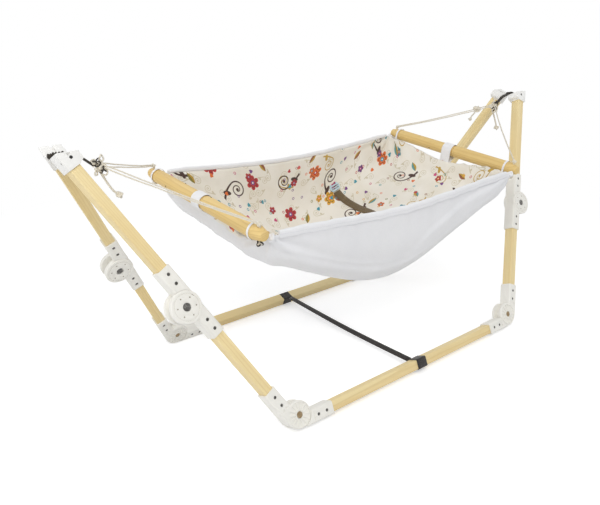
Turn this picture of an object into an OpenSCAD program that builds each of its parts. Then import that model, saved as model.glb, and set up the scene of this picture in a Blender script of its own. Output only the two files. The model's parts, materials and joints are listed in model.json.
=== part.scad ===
// Baby hammock that swings between the tops of a folding wooden stand.
// Millimetres. X runs along the rails, Y across, Z up from the floor.
// The front side frame is at -Y. Each leg folds at a moulded corner and knee.

/* [Side frames] */
// Distance between the two corner pivots of a side frame
pivot_span = 792; // [700:1:900]
// Lean of each side frame from the vertical, degrees
side_lean = 22.3; // [18:0.1:26]
// Gap between the facing caps of the two side frames, at their tops
apex_gap = 24; // [14:0.5:40]
// Outward splay of the legs from the upright of the side plane, degrees
leg_splay = 27.3; // [22:0.1:32]
// Corner pivot to knee pivot, along the leg
lower_leg = 358; // [320:1:375]
// Corner pivot to the end of the bare upper wood, along the leg
leg_reach = 702; // [660:1:710]

/* [Wood] */
// Depth of the wooden bars in the side plane
wood_depth = 24; // [20:0.5:26]
// Width of the wooden bars across the side plane
wood_width = 28; // [24:0.5:32]
// Flat planed on the long edges of the bars
wood_edge = 1.5; // [0.5:0.1:3]

/* [Moulded brackets] */
// Wall of the sleeves round the wood
sleeve_wall = 3.55; // [3:0.05:5]
// Flat on the long edges of the sleeves
sleeve_edge = 3; // [1.5:0.1:4]
// Reach of a corner sleeve beyond the corner pivot
corner_sleeve = 93; // [88:1:110]
// Reach of a knee sleeve beyond the knee pivot
knee_sleeve = 90; // [86:1:110]
// Start of the wood beyond a pivot
wood_start = 40; // [38:0.5:44]
// Radius of the corner discs
corner_r = 32; // [30:0.1:33]
// Radius of the knee discs
knee_r = 35; // [34.5:0.1:37]
// How far a knee disc stands proud of its sleeve
knee_proud = 2; // [1:0.1:3]
// Thickness of the tongues between the cheeks
tongue = 17.4; // [14:0.1:19]
// Radius of the lug of a tongue, round its pivot bolt
lug_r = 20; // [16:0.5:22]
// Corner pivot to the near face of a sleeve
corner_gap = 2; // [1.5:0.1:4]
// Knee pivot to the near face of a sleeve
knee_gap = 1; // [0.8:0.1:2]

/* [Fixings] */
// Radius of the pivot bolts
bolt_r = 4; // [3:0.1:5]
// Radius of the bolt heads
head_r = 8; // [7:0.1:9]
// Thickness of the bolt heads and nuts
head_t = 3.5; // [2.5:0.1:4]
// Pivot to the first screw of a sleeve
first_screw = 50; // [48:0.5:54]
// Spacing of the two screws in a row
screw_pitch = 24.4; // [18:0.1:26]
// Radius of a screw head
screw_head_r = 3.6; // [3:0.1:4.2]
// Radius of a screw shank
screw_r = 1.8; // [1.5:0.1:2.2]
// Length of a screw below its head
screw_length = 12; // [9:0.5:13]
// How deep the seat of a screw head is sunk below the face of its sleeve
screw_sunk = 2.2; // [1.6:0.1:2.6]
// Thickness of a screw head
screw_head_t = 1.4; // [1:0.1:1.6]

/* [Caps] */
// Height of a cap above the bare wood, at its outer side
cap_height = 43; // [38:0.5:48]
// Depth of wood inside a cap
cap_socket = 22; // [16:0.5:26]
// How far the nose of a cap stands out towards the bed
cap_nose = 10; // [6:0.5:14]
// Width of the eye through a cap
cap_eye = 7; // [4:0.5:10]

/* [Cradle] */
// Distance between the two spreader bars
spreader_span = 883; // [840:1:900]
// Height of the spreader bars above the floor
spreader_z = 483.6; // [470:0.5:500]
// Length of a spreader bar
spreader_length = 480; // [440:1:500]
// Radius of a spreader bar
spreader_r = 18; // [15:0.5:20]
// Radius of a spreader bar at its tapered ends
spreader_end_r = 12; // [9:0.5:15]
// Length of the taper at each end of a spreader bar
spreader_taper = 30; // [20:1:40]
// Tilt of the hanging cradle, low on the front side, degrees
cradle_tilt = 6.5; // [0:0.1:8]
// Full depth of the bed below the spreader bars, at its middle
bed_depth = 240; // [200:1:250]
// Depth of the bed just inside a spreader bar
end_depth = 78; // [60:1:100]
// Width of the bed between its rims
bed_width = 470; // [440:1:480]
// Sag of the rims below the spreader bars, at the middle
rim_sag = 26; // [15:1:35]
// Thickness of the outer cloth
shell_t = 2.4; // [2:0.1:4]
// Thickness of the padded lining
lining_t = 3; // [2:0.1:5]
// Radius of a rope strand
rope_r = 2.6; // [2:0.1:3.2]
// Radius of the dark apex cord
apex_cord_r = 2.4; // [2:0.1:3]

/* [Straps] */
// Width of the strap between the two rails
strap_width = 34; // [25:1:40]
// Thickness of the strap between the rails
strap_t = 1.6; // [1.2:0.1:2]
// Width of the restraint strap in the bed
belt_width = 25; // [18:1:30]
// Thickness of the restraint strap
belt_t = 2; // [1.5:0.1:3]

/* [Hidden] */
ENDS = ["left", "right"];
SIDES = ["front", "back"];
$fn = 48;

wood_color = [0.89, 0.80, 0.62];
plastic_color = [0.88, 0.87, 0.83];
steel_color = [0.30, 0.29, 0.28];
cloth_color = [0.90, 0.90, 0.92];
lining_color = [0.88, 0.84, 0.75];
rope_color = [0.92, 0.90, 0.85];
dark_color = [0.15, 0.14, 0.14];

// Clearances: a push fit on wood, a running fit on a bolt, cloth on wood, moving faces
socket_gap = 0.15;
running_gap = 0.05;
cloth_gap = 0.3;
slot_gap = 0.15;
disc_gap = 0.4;

sleeve_depth = wood_depth + 2 * (sleeve_wall + socket_gap);
sleeve_width = wood_width + 2 * (sleeve_wall + socket_gap);
half_span = pivot_span / 2;
// The side planes meet where the tops of their caps stand the gap apart
cap_top = leg_reach + cap_height;
cap_level = cap_top - (corner_gap + sleeve_depth) * tan(leg_splay);
cap_chamfer = 2;
cap_peak = cap_level * cos(leg_splay) - cap_chamfer * sin(leg_splay) + cos(leg_splay);
plane_reach = cap_peak + (sleeve_width / 2 * cos(side_lean) + apex_gap / 2) / sin(side_lean);
half_spread = plane_reach * sin(side_lean);
// The corner discs turn just clear of the floor; the rail sleeves are cut flat on it
floor_gap = 0.3;
pivot_height = corner_r * cos(side_lean) + (sleeve_width / 2 - sleeve_edge) * sin(side_lean)
    + floor_gap;
apex_z = pivot_height + plane_reach * cos(side_lean);
slot = tongue + 2 * slot_gap;
corner_line = corner_gap + sleeve_depth / 2;
knee_v = corner_gap + sleeve_depth + knee_gap;
cheek_out = sleeve_width / 2 + knee_proud;

// ---- Places ----

// Side plane: x along the rail, y up the plane, z its outward normal, origin mid pivot line
module side(s) {
    mirror([0, s == "front" ? 0 : 1, 0])
        translate([0, -half_spread, pivot_height]) rotate([90 - side_lean, 0, 0]) children();
}

// Left or right end of a side plane, with its origin at the corner pivot, x towards the middle
module corner(s, e) {
    side(s) mirror([e == "left" ? 0 : 1, 0, 0]) translate([-half_span, 0, 0]) children();
}

// Leg: x up along the leg from the corner pivot, y outwards in the side plane
module leg(s, e) {
    corner(s, e) rotate([0, 0, 90 + leg_splay]) children();
}

// Turns an outline in y and z so that it runs along x
module along_x(length) {
    rotate([90, 0, 90]) linear_extrude(length) children();
}

// ---- Profiles ----

module planed(depth, width, edge) {
    d = depth / 2;
    w = width / 2;
    polygon([
        [-d + edge, -w], [d - edge, -w], [d, -w + edge], [d, w - edge],
        [d - edge, w], [-d + edge, w], [-d, w - edge], [-d, -w + edge],
    ]);
}

module bar(length) {
    along_x(length) planed(wood_depth, wood_width, wood_edge);
}

// Pilot holes for the screws of one sleeve, through the wall and into the wood
module pilots(line) {
    for (x = [first_screw, first_screw + screw_pitch], z = [-1, 1])
        translate([x, line, z * (sleeve_width / 2 - screw_sunk - screw_length - 1)])
            mirror([0, 0, z < 0 ? 1 : 0]) cylinder(r = screw_r + socket_gap, h = screw_length + 1);
}

// Counterbores and clearance holes in one sleeve
module screw_seats(line) {
    for (x = [first_screw, first_screw + screw_pitch], z = [-1, 1])
        translate([x, line, 0]) mirror([0, 0, z < 0 ? 1 : 0]) {
            translate([0, 0, sleeve_width / 2 - screw_sunk])
                cylinder(r = screw_head_r + 2 * socket_gap, h = screw_sunk + 1);
            translate([0, 0, wood_width / 2 - 1])
                cylinder(r = screw_r + socket_gap, h = sleeve_wall + 2);
        }
}

// The screws of one sleeve
module screws(line) {
    for (x = [first_screw, first_screw + screw_pitch], z = [-1, 1])
        translate([x, line, 0]) mirror([0, 0, z < 0 ? 1 : 0])
            translate([0, 0, sleeve_width / 2 - screw_sunk]) {
                cylinder(r = screw_head_r, h = screw_head_t);
                translate([0, 0, -screw_length]) cylinder(r = screw_r, h = screw_length + 0.5);
            }
}

// Sleeve body from the pivot to its mouth, its near face at y = near, before its pocket
module sleeve_block(reach, near) {
    translate([0, near + sleeve_depth / 2, 0]) along_x(reach)
        planed(sleeve_depth, sleeve_width, sleeve_edge);
}

module sleeve_pocket(reach, near) {
    translate([wood_start - 0.5, near + sleeve_depth / 2, 0])
        along_x(reach - wood_start + 2)
            planed(wood_depth + 2 * socket_gap, wood_width + 2 * socket_gap, wood_edge);
}

// Small triangular pockets moulded beside the disc, on both faces of a sleeve
pocket_depth = 1.8;
pocket_rib = 4;
pocket_start = 3;
pocket_width = 6;
module core_pockets(near, r) {
    middle = near + sleeve_depth / 2;
    reach = sleeve_depth / 2 - sleeve_edge - pocket_rib / 2;
    for (z = [-1, 1], m = [0, 1])
        translate([r + pocket_start, middle, z * (sleeve_width / 2 - pocket_depth / 2 + 0.5)])
            mirror([0, m, 0]) linear_extrude(pocket_depth + 1, center = true)
                polygon([[0, pocket_rib / 2], [pocket_width, pocket_rib / 2], [0, reach]]);
}

// Disc with chamfered rims, centred on the side plane
module disc(r, width, edge) {
    h = width / 2;
    rotate_extrude() polygon([
        [0, -h], [r - edge, -h], [r, -h + edge], [r, h - edge], [r - edge, h], [0, h],
    ]);
}

// ---- Moulded corner: cheeks on the leg, tongue on the rail ----

// Where the full width of the rail's half starts below the disc, and how far the toe stops short
horn_x = 14;
toe_inset = 1.5;
rib_count = 14;
rib_w = 2.2;
recess_depth = 2.4;
// Depth of what the floor takes off a rail sleeve, with room to spare
floor_cut = 20;

// Ring recess with radial ribs, sunk into the outer face of a disc
module ribbed_ring(inner, outer, face) {
    for (z = [-1, 1])
        translate([0, 0, z * (face - recess_depth / 2 + 0.5)])
            linear_extrude(recess_depth + 1, center = true) difference() {
                circle(outer);
                circle(inner);
                for (i = [0 : rib_count - 1])
                    rotate(i * 360 / rib_count) translate([0, -rib_w / 2])
                        square([outer + 1, rib_w]);
            }
}

module bolt_seat(face) {
    for (z = [-1, 1])
        translate([0, 0, z > 0 ? face - head_t - 1 : -face - 1])
            cylinder(r = head_r + 1.2, h = head_t + 2);
    cylinder(r = bolt_r + running_gap, h = 4 * face, center = true);
}

// Leg half of a corner: two cheeks round the rail's tongue, and the leg's sleeve
module corner_bracket() {
    color(plastic_color) difference() {
        union() {
            disc(corner_r, sleeve_width, sleeve_edge);
            sleeve_block(corner_sleeve, corner_gap);
        }
        linear_extrude(slot, center = true) difference() {
            circle(corner_r + 1);
            difference() {
                translate([slot_gap, corner_gap]) square([corner_sleeve, sleeve_depth]);
                circle(lug_r + disc_gap);
            }
        }
        sleeve_pocket(corner_sleeve, corner_gap);
        screw_seats(corner_line);
        core_pockets(corner_gap, corner_r);
        ribbed_ring(head_r + 4, corner_r - 4, sleeve_width / 2);
        bolt_seat(sleeve_width / 2);
    }
}

// Rail half of a corner: the tongue with its toe, and the rail's sleeve. x along the rail
module rail_bracket() {
    color(plastic_color) difference() {
        union() {
            difference() {
                mirror([0, 1, 0]) sleeve_block(corner_sleeve, corner_gap);
                for (z = [-1, 1])
                    translate([0, 0, z * (tongue / 2 + sleeve_width / 2)]) {
                        cylinder(r = corner_r + disc_gap, h = sleeve_width, center = true);
                        translate([horn_x / 2 - 1, -corner_r, 0])
                            cube([horn_x + 2, 2 * corner_r, sleeve_width], center = true);
                    }
            }
            linear_extrude(tongue, center = true) {
                circle(lug_r);
                intersection() {
                    circle(corner_r - toe_inset);
                    // The toe that the leg's web rests on, from the leg's end face to the rail
                    rotate(leg_splay) translate([-2 * corner_r, -2 * corner_r - slot_gap])
                        square([4 * corner_r, 2 * corner_r]);
                    translate([-2 * corner_r, -2 * corner_r])
                        square([2 * corner_r + horn_x, 2 * corner_r]);
                }
            }
        }
        mirror([0, 1, 0]) {
            sleeve_pocket(corner_sleeve, corner_gap);
            screw_seats(corner_line);
            core_pockets(corner_gap, corner_r + 1);
        }
        cylinder(r = bolt_r + running_gap, h = 2 * sleeve_width, center = true);
        rotate([side_lean - 90, 0, 0])
            translate([-corner_r, -corner_r, -pivot_height - floor_cut])
                cube([corner_sleeve + 2 * corner_r, 2 * corner_r, floor_cut]);
    }
}

// ---- Moulded knee: cheeks on the lower leg, tongue on the upper leg ----

knee_edge = 1.5;
dimple_count = 6;
dimple_ring = 21;
dimple_r = 1.5;
groove_in = 27.6;
groove_out = 28.8;
groove_depth = 0.9;

// Lower half, with its origin at the knee pivot and its sleeve along +x (down the leg)
module lower_knee_bracket() {
    near = knee_gap;
    color(plastic_color) difference() {
        union() {
            disc(knee_r, 2 * cheek_out, knee_edge);
            sleeve_block(knee_sleeve, near);
        }
        linear_extrude(slot, center = true) difference() {
            circle(knee_r + 1);
            difference() {
                translate([slot_gap, near]) square([knee_sleeve, sleeve_depth]);
                circle(lug_r + disc_gap);
            }
        }
        sleeve_pocket(knee_sleeve, near);
        screw_seats(near + sleeve_depth / 2);
        for (z = [-1, 1], i = [0 : dimple_count - 1])
            rotate(i * 360 / dimple_count) translate([dimple_ring, 0, z * cheek_out])
                cylinder(r = dimple_r, h = 2.4, center = true);
        for (z = [-1, 1])
            translate([0, 0, z * cheek_out]) linear_extrude(2 * groove_depth, center = true)
                difference() {
                    circle(groove_out);
                    circle(groove_in);
                }
        bolt_seat(cheek_out);
    }
}

// Upper half, with its origin at the knee pivot and its sleeve along +x (up the leg)
module upper_knee_bracket() {
    near = knee_gap;
    color(plastic_color) difference() {
        union() {
            difference() {
                sleeve_block(knee_sleeve, near);
                for (z = [-1, 1])
                    translate([0, 0, z * (tongue / 2 + sleeve_width / 2)])
                        cylinder(r = knee_r + disc_gap, h = sleeve_width, center = true);
                translate([-1, 0, -sleeve_width]) cube([1 + slot_gap, knee_v, 2 * sleeve_width]);
            }
            cylinder(r = lug_r, h = tongue, center = true);
        }
        sleeve_pocket(knee_sleeve, near);
        screw_seats(near + sleeve_depth / 2);
        cylinder(r = bolt_r + running_gap, h = 2 * sleeve_width, center = true);
    }
}

// ---- Frame pieces ----

module rail(s) {
    color(wood_color) side(s) difference() {
        translate([-half_span + wood_start, -corner_line, 0]) bar(pivot_span - 2 * wood_start);
        for (e = [0, 1]) mirror([e, 0, 0]) translate([-half_span, 0, 0]) pilots(-corner_line);
    }
}

module rail_screws(s) {
    color(steel_color) for (e = ENDS) corner(s, e) screws(-corner_line);
}

module lower_bar(s, e) {
    length = lower_leg - 2 * wood_start;
    color(wood_color) leg(s, e) difference() {
        translate([wood_start, corner_line, 0]) bar(length);
        pilots(corner_line);
        translate([lower_leg, 0, 0]) mirror([1, 0, 0]) pilots(corner_line);
    }
}

module upper_bar(s, e) {
    color(wood_color) leg(s, e) translate([lower_leg, 0, 0]) difference() {
        translate([wood_start, corner_line, 0])
            bar(leg_reach + cap_socket - lower_leg - wood_start);
        pilots(corner_line);
    }
}

// Half of a knee, turned so that its sleeve lies on the leg's line
module at_knee(s, e) {
    leg(s, e) translate([lower_leg, knee_v, 0]) children();
}

module pivot_bolt(face) {
    for (z = [-1, 1])
        translate([0, 0, z > 0 ? face - head_t - 1 : -face + 1])
            cylinder(r = head_r, h = head_t, $fn = z > 0 ? 48 : 6);
    cylinder(r = bolt_r, h = 2 * (face - 2), center = true);
}

module pivot_bolts(s, e) {
    color(steel_color) {
        leg(s, e) pivot_bolt(sleeve_width / 2);
        at_knee(s, e) pivot_bolt(cheek_out);
    }
}

module lower_screws(s, e) {
    color(steel_color) leg(s, e) {
        screws(corner_line);
        translate([lower_leg, 0, 0]) mirror([1, 0, 0]) screws(corner_line);
    }
}

module upper_screws(s, e) {
    color(steel_color) leg(s, e) translate([lower_leg, 0, 0]) screws(corner_line);
}

// Cap on the top of a leg, cut level, with a nose towards the bed
module cap(s, e) {
    near = corner_gap;
    far = corner_gap + sleeve_depth;
    nose = near - cap_nose;
    c = cap_chamfer;
    color(plastic_color) leg(s, e) difference() {
        linear_extrude(sleeve_width, center = true) difference() {
            polygon([
                [leg_reach, near + c / 2], [leg_reach + c, near], [leg_reach + 2 * c, nose + c],
                [leg_reach + 3.5 * c, nose], [cap_level + (nose - c) * tan(leg_splay), nose],
                [cap_level + nose * tan(leg_splay) + c / 2, nose + c],
                [cap_top - 1.5 * c, far - 1.75 * c], [cap_top - 1.75 * c, far - c / 2],
                [cap_top - 3 * c, far], [leg_reach + c / 2, far], [leg_reach, far - c / 2],
            ]);
            translate([leg_reach + cap_socket + 1.5 * c, corner_line - cap_eye / 2 - 3 * c])
                square(cap_eye);
        }
        translate([leg_reach - 1, corner_line, 0]) along_x(cap_socket + 1 + socket_gap)
            planed(wood_depth + 2 * socket_gap, wood_width + 2 * socket_gap, wood_edge);
    }
}

// ---- Swept solids ----

// Closed ring of `sides` points round point p, across direction d, of radii a and b
function unit(v) = v / max(norm(v), 0.000001);
function ring(p, d, a, b, sides, up) =
    let(w = unit(cross(d, up)), n = cross(w, d))
    [for (k = [0 : sides - 1])
        p + a * cos(360 * k / sides) * w + b * sin(360 * k / sides) * n];
function heading(path, i) =
    unit(path[min(i + 1, len(path) - 1)] - path[max(i - 1, 0)]);

// Tube of radii a and b along a path, with flat ends
module sweep(path, a, b, sides = 8, up = [0, 0, 1]) {
    n = len(path);
    points = [for (i = [0 : n - 1]) each ring(path[i], heading(path, i), a, b, sides, up)];
    skin = [for (i = [0 : n - 2], k = [0 : sides - 1])
        [i * sides + k, i * sides + (k + 1) % sides,
         (i + 1) * sides + (k + 1) % sides, (i + 1) * sides + k]];
    polyhedron(
        points = points,
        faces = concat(
            [for (f = skin) each [[f[0], f[1], f[2]], [f[0], f[2], f[3]]]],
            [[for (k = [sides - 1 : -1 : 0]) k], [for (k = [0 : sides - 1]) (n - 1) * sides + k]]),
        convexity = 6);
}

// Closed loop of the same kind
module sweep_loop(path, r, sides = 8, up = [0, 0, 1]) {
    n = len(path);
    points = [for (i = [0 : n - 1])
        each ring(path[i], unit(path[(i + 1) % n] - path[(i + n - 1) % n]), r, r, sides, up)];
    skin = [for (i = [0 : n - 1], k = [0 : sides - 1])
        [i * sides + k, i * sides + (k + 1) % sides,
         ((i + 1) % n) * sides + (k + 1) % sides, ((i + 1) % n) * sides + k]];
    polyhedron(points = points, faces = [for (f = skin) each [[f[0], f[1], f[2]], [f[0], f[2], f[3]]]],
        convexity = 8);
}

// ---- Cradle ----

half_bars = spreader_span / 2;
tilt_z = spreader_z - 66;
mass_z = spreader_z - 86;
// The cradle hangs with its mass under the apex line
hang_y = (tilt_z - mass_z) * sin(cradle_tilt);
rope_hole_y = spreader_length / 2 - 16;
rope_hole_r = rope_r + 0.7;

// Tilted place of the cradle
module hung() {
    translate([0, 0, tilt_z]) rotate([cradle_tilt, 0, 0]) translate([0, 0, -tilt_z]) children();
}
function tilted(p) =
    let(y = p[1], z = p[2] - tilt_z, c = cos(cradle_tilt), s = sin(cradle_tilt))
    [p[0], y * c - z * s, y * s + z * c + tilt_z];

// A bar is round, with a taper and an eased edge at each end
bar_half = spreader_length / 2;
bar_nose = 3;
bar_flare = (spreader_r - spreader_end_r) / spreader_taper;
bar_hole_r = spreader_end_r + bar_flare * (bar_half - rope_hole_y);
function bar_side(way) = [
    [spreader_end_r - bar_nose, way * bar_half],
    [spreader_end_r + bar_flare * bar_nose, way * (bar_half - bar_nose)],
    [spreader_r, way * (bar_half - spreader_taper)],
];
module spreader_bar(e) {
    x = e == "left" ? -half_bars : half_bars;
    low = bar_side(-1);
    high = bar_side(1);
    color(wood_color) hung() translate([x, 0, spreader_z]) difference() {
        rotate([90, 0, 0]) rotate_extrude()
            polygon([[0, -bar_half], each low, high[2], high[1], high[0], [0, bar_half]]);
        for (y = [-rope_hole_y, rope_hole_y])
            translate([0, y, 0]) cylinder(r = rope_hole_r, h = 4 * spreader_r, center = true);
    }
}

// The bed is a sheet slung between the bars. u runs along it from -1 to 1, and a from -90
// at the front rim to 90 at the back rim. inset moves the sheet inwards.
bed_half = half_bars - spreader_r - cloth_gap - 1.4;
boxiness = 4.6;
rise = 22;
bed_rows = 26;
bed_cols = 22;
// Goes from 1 at the middle to 0 at a bar, round at the middle
mid_round = 0.4;
function keep(u) =
    (norm([1, mid_round]) - norm([u, mid_round])) / (norm([1, mid_round]) - mid_round);
function rim_z(u) = spreader_z - rim_sag * keep(u) - spreader_r * 0.25;
function depth_at(u) =
    end_depth * (1 - exp(-keep(u) * bed_half / rise))
    + (bed_depth - rim_sag - end_depth) * pow(keep(u), 1.16);
function half_width(u) = bed_width / 2 - 8 * keep(u) * abs(u);
function power(c, n) = (c < 0 ? -1 : 1) * pow(abs(c), 2 / n);
function bed_point(u, a, inset) =
    [bed_half * u - (u < 0 ? -1 : 1) * inset * min(1, pow(abs(u), 8)),
     (half_width(u) - inset) * power(sin(a), boxiness),
     rim_z(u) - max(0.01, depth_at(u) - inset) * power(cos(a), boxiness)];
function bed_us() = [for (i = [0 : bed_rows]) let(t = -1 + 2 * i / bed_rows)
    (t < 0 ? -1 : 1) * (1 - pow(1 - abs(t), 1.5))];
function bed_grid(inset) =
    [for (u = bed_us(), j = [0 : bed_cols]) bed_point(u, -90 + 180 * j / bed_cols, inset)];

// Cloth between two insets, one closed solid
module cloth(outer, inner) {
    rows = bed_rows + 1;
    cols = bed_cols + 1;
    m = rows * cols;
    function at(i, j) = i * cols + j;
    quads = [for (i = [0 : rows - 2], j = [0 : cols - 2])
        [at(i, j), at(i, j + 1), at(i + 1, j + 1), at(i + 1, j)]];
    edge = concat(
        [for (j = [0 : cols - 2]) [at(0, j), at(0, j + 1)]],
        [for (i = [0 : rows - 2]) [at(i, cols - 1), at(i + 1, cols - 1)]],
        [for (j = [cols - 1 : -1 : 1]) [at(rows - 1, j), at(rows - 1, j - 1)]],
        [for (i = [rows - 1 : -1 : 1]) [at(i, 0), at(i - 1, 0)]]);
    polyhedron(
        points = concat(bed_grid(outer), bed_grid(inner)),
        faces = concat(
            [for (q = quads) each [[q[0], q[2], q[1]], [q[0], q[3], q[2]]]],
            [for (q = quads) each [[m + q[0], m + q[1], m + q[2]], [m + q[0], m + q[2], m + q[3]]]],
            [for (e = edge) each [[e[0], e[1], m + e[1]], [e[0], m + e[1], m + e[0]]]]),
        convexity = 6);
}

lining_inset = shell_t + cloth_gap;
module bed_shell() {
    color(cloth_color) hung() cloth(0, shell_t);
}
module bed_lining() {
    color(lining_color) hung() cloth(lining_inset, lining_inset + lining_t);
}

// Rolled hems along the two rims, on top of the cloth's edge
hem_w = 4.5;
hem_h = 6;
hem_inset = 2.8;
hem_steps = 24;
module rim_hems() {
    color(cloth_color) hung() for (dir = [-1, 1])
        sweep([for (i = [1 : hem_steps - 1])
            bed_point(2 * i / hem_steps - 1, 90 * dir, hem_inset) + [0, 0, hem_h + cloth_gap]],
            hem_w, hem_h, 8);
}

// Three cloth loops that carry one end of the bed on its bar: a wide one and a narrow one at each corner
loop_t = 1.6;
corner_loop = 14;
middle_loop = 34;
loop_y = bed_width / 2 - 30;
loops = [[-loop_y, corner_loop], [0, middle_loop], [loop_y, corner_loop]];
module bar_loops(e) {
    x = e == "left" ? -half_bars : half_bars;
    color(cloth_color) hung() for (l = loops)
        translate([x, l[0], spreader_z]) rotate([90, 0, 0]) difference() {
            cylinder(r = spreader_r + cloth_gap + loop_t, h = l[1], center = true);
            cylinder(r = spreader_r + cloth_gap, h = l[1] + 2, center = true);
        }
}

// Restraint strap: it lies on the lining, from its buckle at the foot of the back wall across the bottom
belt_lift = lining_inset + lining_t + 0.6;
belt_first = 18;
belt_last = 6;
belt_u = [0.42, 0.49];
function belt_at(j, side, lift) =
    let(f = max(0, belt_first - j) / (belt_first - belt_last),
        u = belt_u[0] + (belt_u[1] - belt_u[0]) * pow(f, 0.8))
    bed_point(u + side * belt_width / 2 / bed_half, -90 + 180 * j / bed_cols, lift);
module restraint_strap() {
    count = belt_first - belt_last + 1;
    points = [for (i = [0 : count - 1]) let(j = belt_first - i)
        each [belt_at(j, 1, belt_lift + belt_t), belt_at(j, -1, belt_lift + belt_t),
              belt_at(j, -1, belt_lift), belt_at(j, 1, belt_lift)]];
    skin = [for (i = [0 : count - 2], k = [0 : 3])
        [4 * i + k, 4 * i + (k + 1) % 4, 4 * (i + 1) + (k + 1) % 4, 4 * (i + 1) + k]];
    color([0.37, 0.32, 0.21]) hung() polyhedron(points = points,
        faces = concat(
            [for (f = skin) each [[f[0], f[2], f[1]], [f[0], f[3], f[2]]]],
            [[0, 1, 2, 3], [for (k = [3 : -1 : 0]) 4 * (count - 1) + k]]),
        convexity = 4);
}

// Open buckle beyond the upper end of the strap, flat on the foot of the back wall
buckle = [36, 20, 4];
buckle_bar = 4;
buckle_gap = 3.4;
buckle_lift = 1.8;
module restraint_buckle() {
    lift = belt_lift + belt_t;
    seat = belt_at(belt_first, 0, lift);
    side = unit(belt_at(belt_first, 1, lift) - belt_at(belt_first, -1, lift));
    slope = unit(belt_at(belt_first + 1, 0, lift) - seat);
    up = unit(cross(side, slope));
    ahead = cross(up, side);
    place = [for (k = [0 : 2]) [side[k], ahead[k], up[k], seat[k]]];
    color([0.8, 0.87, 0.9]) hung() multmatrix(place)
        translate([0, buckle[1] / 2 + buckle_gap, buckle_lift]) difference() {
            cube(buckle, center = true);
            for (y = [-1, 1]) translate([0, y * (buckle[1] + buckle_bar) / 4 - y, 0])
                cube([buckle[0] - 2 * buckle_bar, buckle[1] / 2 - buckle_bar, 2 * buckle[2]],
                    center = true);
        }
}

// Place in the frame of a point of the left end's front leg
function leg_place(p) =
    let(x = -half_span - p[0] * sin(leg_splay) - p[1] * cos(leg_splay),
        y = p[0] * cos(leg_splay) - p[1] * sin(leg_splay))
    [x, -half_spread + y * sin(side_lean) - p[2] * cos(side_lean),
     pivot_height + y * cos(side_lean) + p[2] * sin(side_lean)];

// Ropes: from a knot below the apex to the two ends of a bar, through its holes, with stop knots
knot_r = 8;
knot_in = 51.5;
knot_drop = 106;
knot_x = -leg_place([leg_reach + 10, corner_gap - cap_nose, 0])[0] - knot_in;
knot_z = apex_z - knot_drop;
knot_side = knot_r - 1;
knot_low = knot_r - 2;
stop_r = 6.5;
seat_gap = 0.3;
module ropes(e) {
    dir = e == "left" ? -1 : 1;
    knot = [dir * knot_x, hang_y, knot_z];
    color(rope_color) {
        for (y = [-rope_hole_y, rope_hole_y]) {
            top = tilted([dir * half_bars, y, spreader_z + bar_hole_r + 6]);
            mouth = tilted([dir * half_bars, y, spreader_z + 6]);
            low = tilted([dir * half_bars, y, spreader_z - bar_hole_r - stop_r]);
            sweep([knot + [0, 5 * sign(y), 0], (knot * 2 + top) / 3, (knot + top * 2) / 3,
                   top + [dir * rope_r, 0, 1], mouth, low], rope_r, rope_r, 8, [1, 0.1, 0.2]);
            translate(low - [0, 0, seat_gap]) sphere(r = stop_r);
        }
        translate(knot) sphere(r = knot_r);
        translate(knot + [dir * knot_side, 3, 3]) sphere(r = knot_side);
        translate(knot + [dir * 4, -5, -4]) sphere(r = knot_low);
    }
}

// Dark cord slung round the two caps of one end, to which the ropes' knot is tied
cord_off = apex_cord_r + 0.9;
cap_w = sleeve_width / 2 + cord_off;
cap_in = corner_gap - cap_nose - cord_off;
cap_out = corner_gap + sleeve_depth + cord_off;
front_strand = [
    leg_place([leg_reach + 10, cap_in - 1, cap_w - 4]),
    leg_place([leg_reach + 12, cap_in + 2, cap_w + 0.6]),
    leg_place([leg_reach + 17, corner_line, cap_w]),
    leg_place([leg_reach + 23, cap_out - 2.6, cap_w + 0.3]),
    leg_place([leg_reach + 25, cap_out + 0.6, cap_w - 3.6]),
    leg_place([leg_reach + 26, cap_out, 0]),
    leg_place([leg_reach + 27, cap_out + 1, 4 - cap_w]),
];
module apex_cord(e) {
    dir = e == "left" ? -1 : 1;
    tip = [-knot_x - 2 * knot_side - apex_cord_r + seat_gap, hang_y + 2, knot_z + 3];
    back_strand = [for (i = [len(front_strand) - 1 : -1 : 0])
        [front_strand[i][0], -front_strand[i][1], front_strand[i][2]]];
    path = concat([tip + [0, -2, 0]], front_strand, back_strand, [tip + [0, 2, 0]]);
    color(dark_color) sweep_loop([for (p = path) [-dir * p[0], p[1], p[2]]], apex_cord_r, 8);
}

// Free tails of the ropes, with their end knots
tail_routes = [
    [[-664, 5, 588.8], [-662, 5, 578], [-657, 5, 568], [-651, 5, 556], [-645, 4, 545],
     [-639, 4, 537], [-632, 3, 531]],
    [[664, 5, 588.8], [666, 5, 579], [671, 4, 569], [676, 3, 559], [680, 2, 548],
     [683, 0, 537], [685, -1, 528]],
];
tail_knot_r = 7;
module rope_tail(e) {
    route = tail_routes[e == "left" ? 0 : 1];
    last = route[len(route) - 1];
    color(rope_color) {
        sweep(route, rope_r, rope_r, 8, [0, 1, 0]);
        translate(last + 4 * unit(last - route[len(route) - 2])) sphere(r = tail_knot_r);
    }
}

// Strap that keeps the two rails from spreading, looped round both
strap_x = -8;
strap_sag = 5;
rail_y = half_spread + corner_line * sin(side_lean);
rail_z = pivot_height - corner_line * cos(side_lean);
strap_in = [wood_depth / 2 + cloth_gap, wood_width / 2 + cloth_gap];
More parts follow.
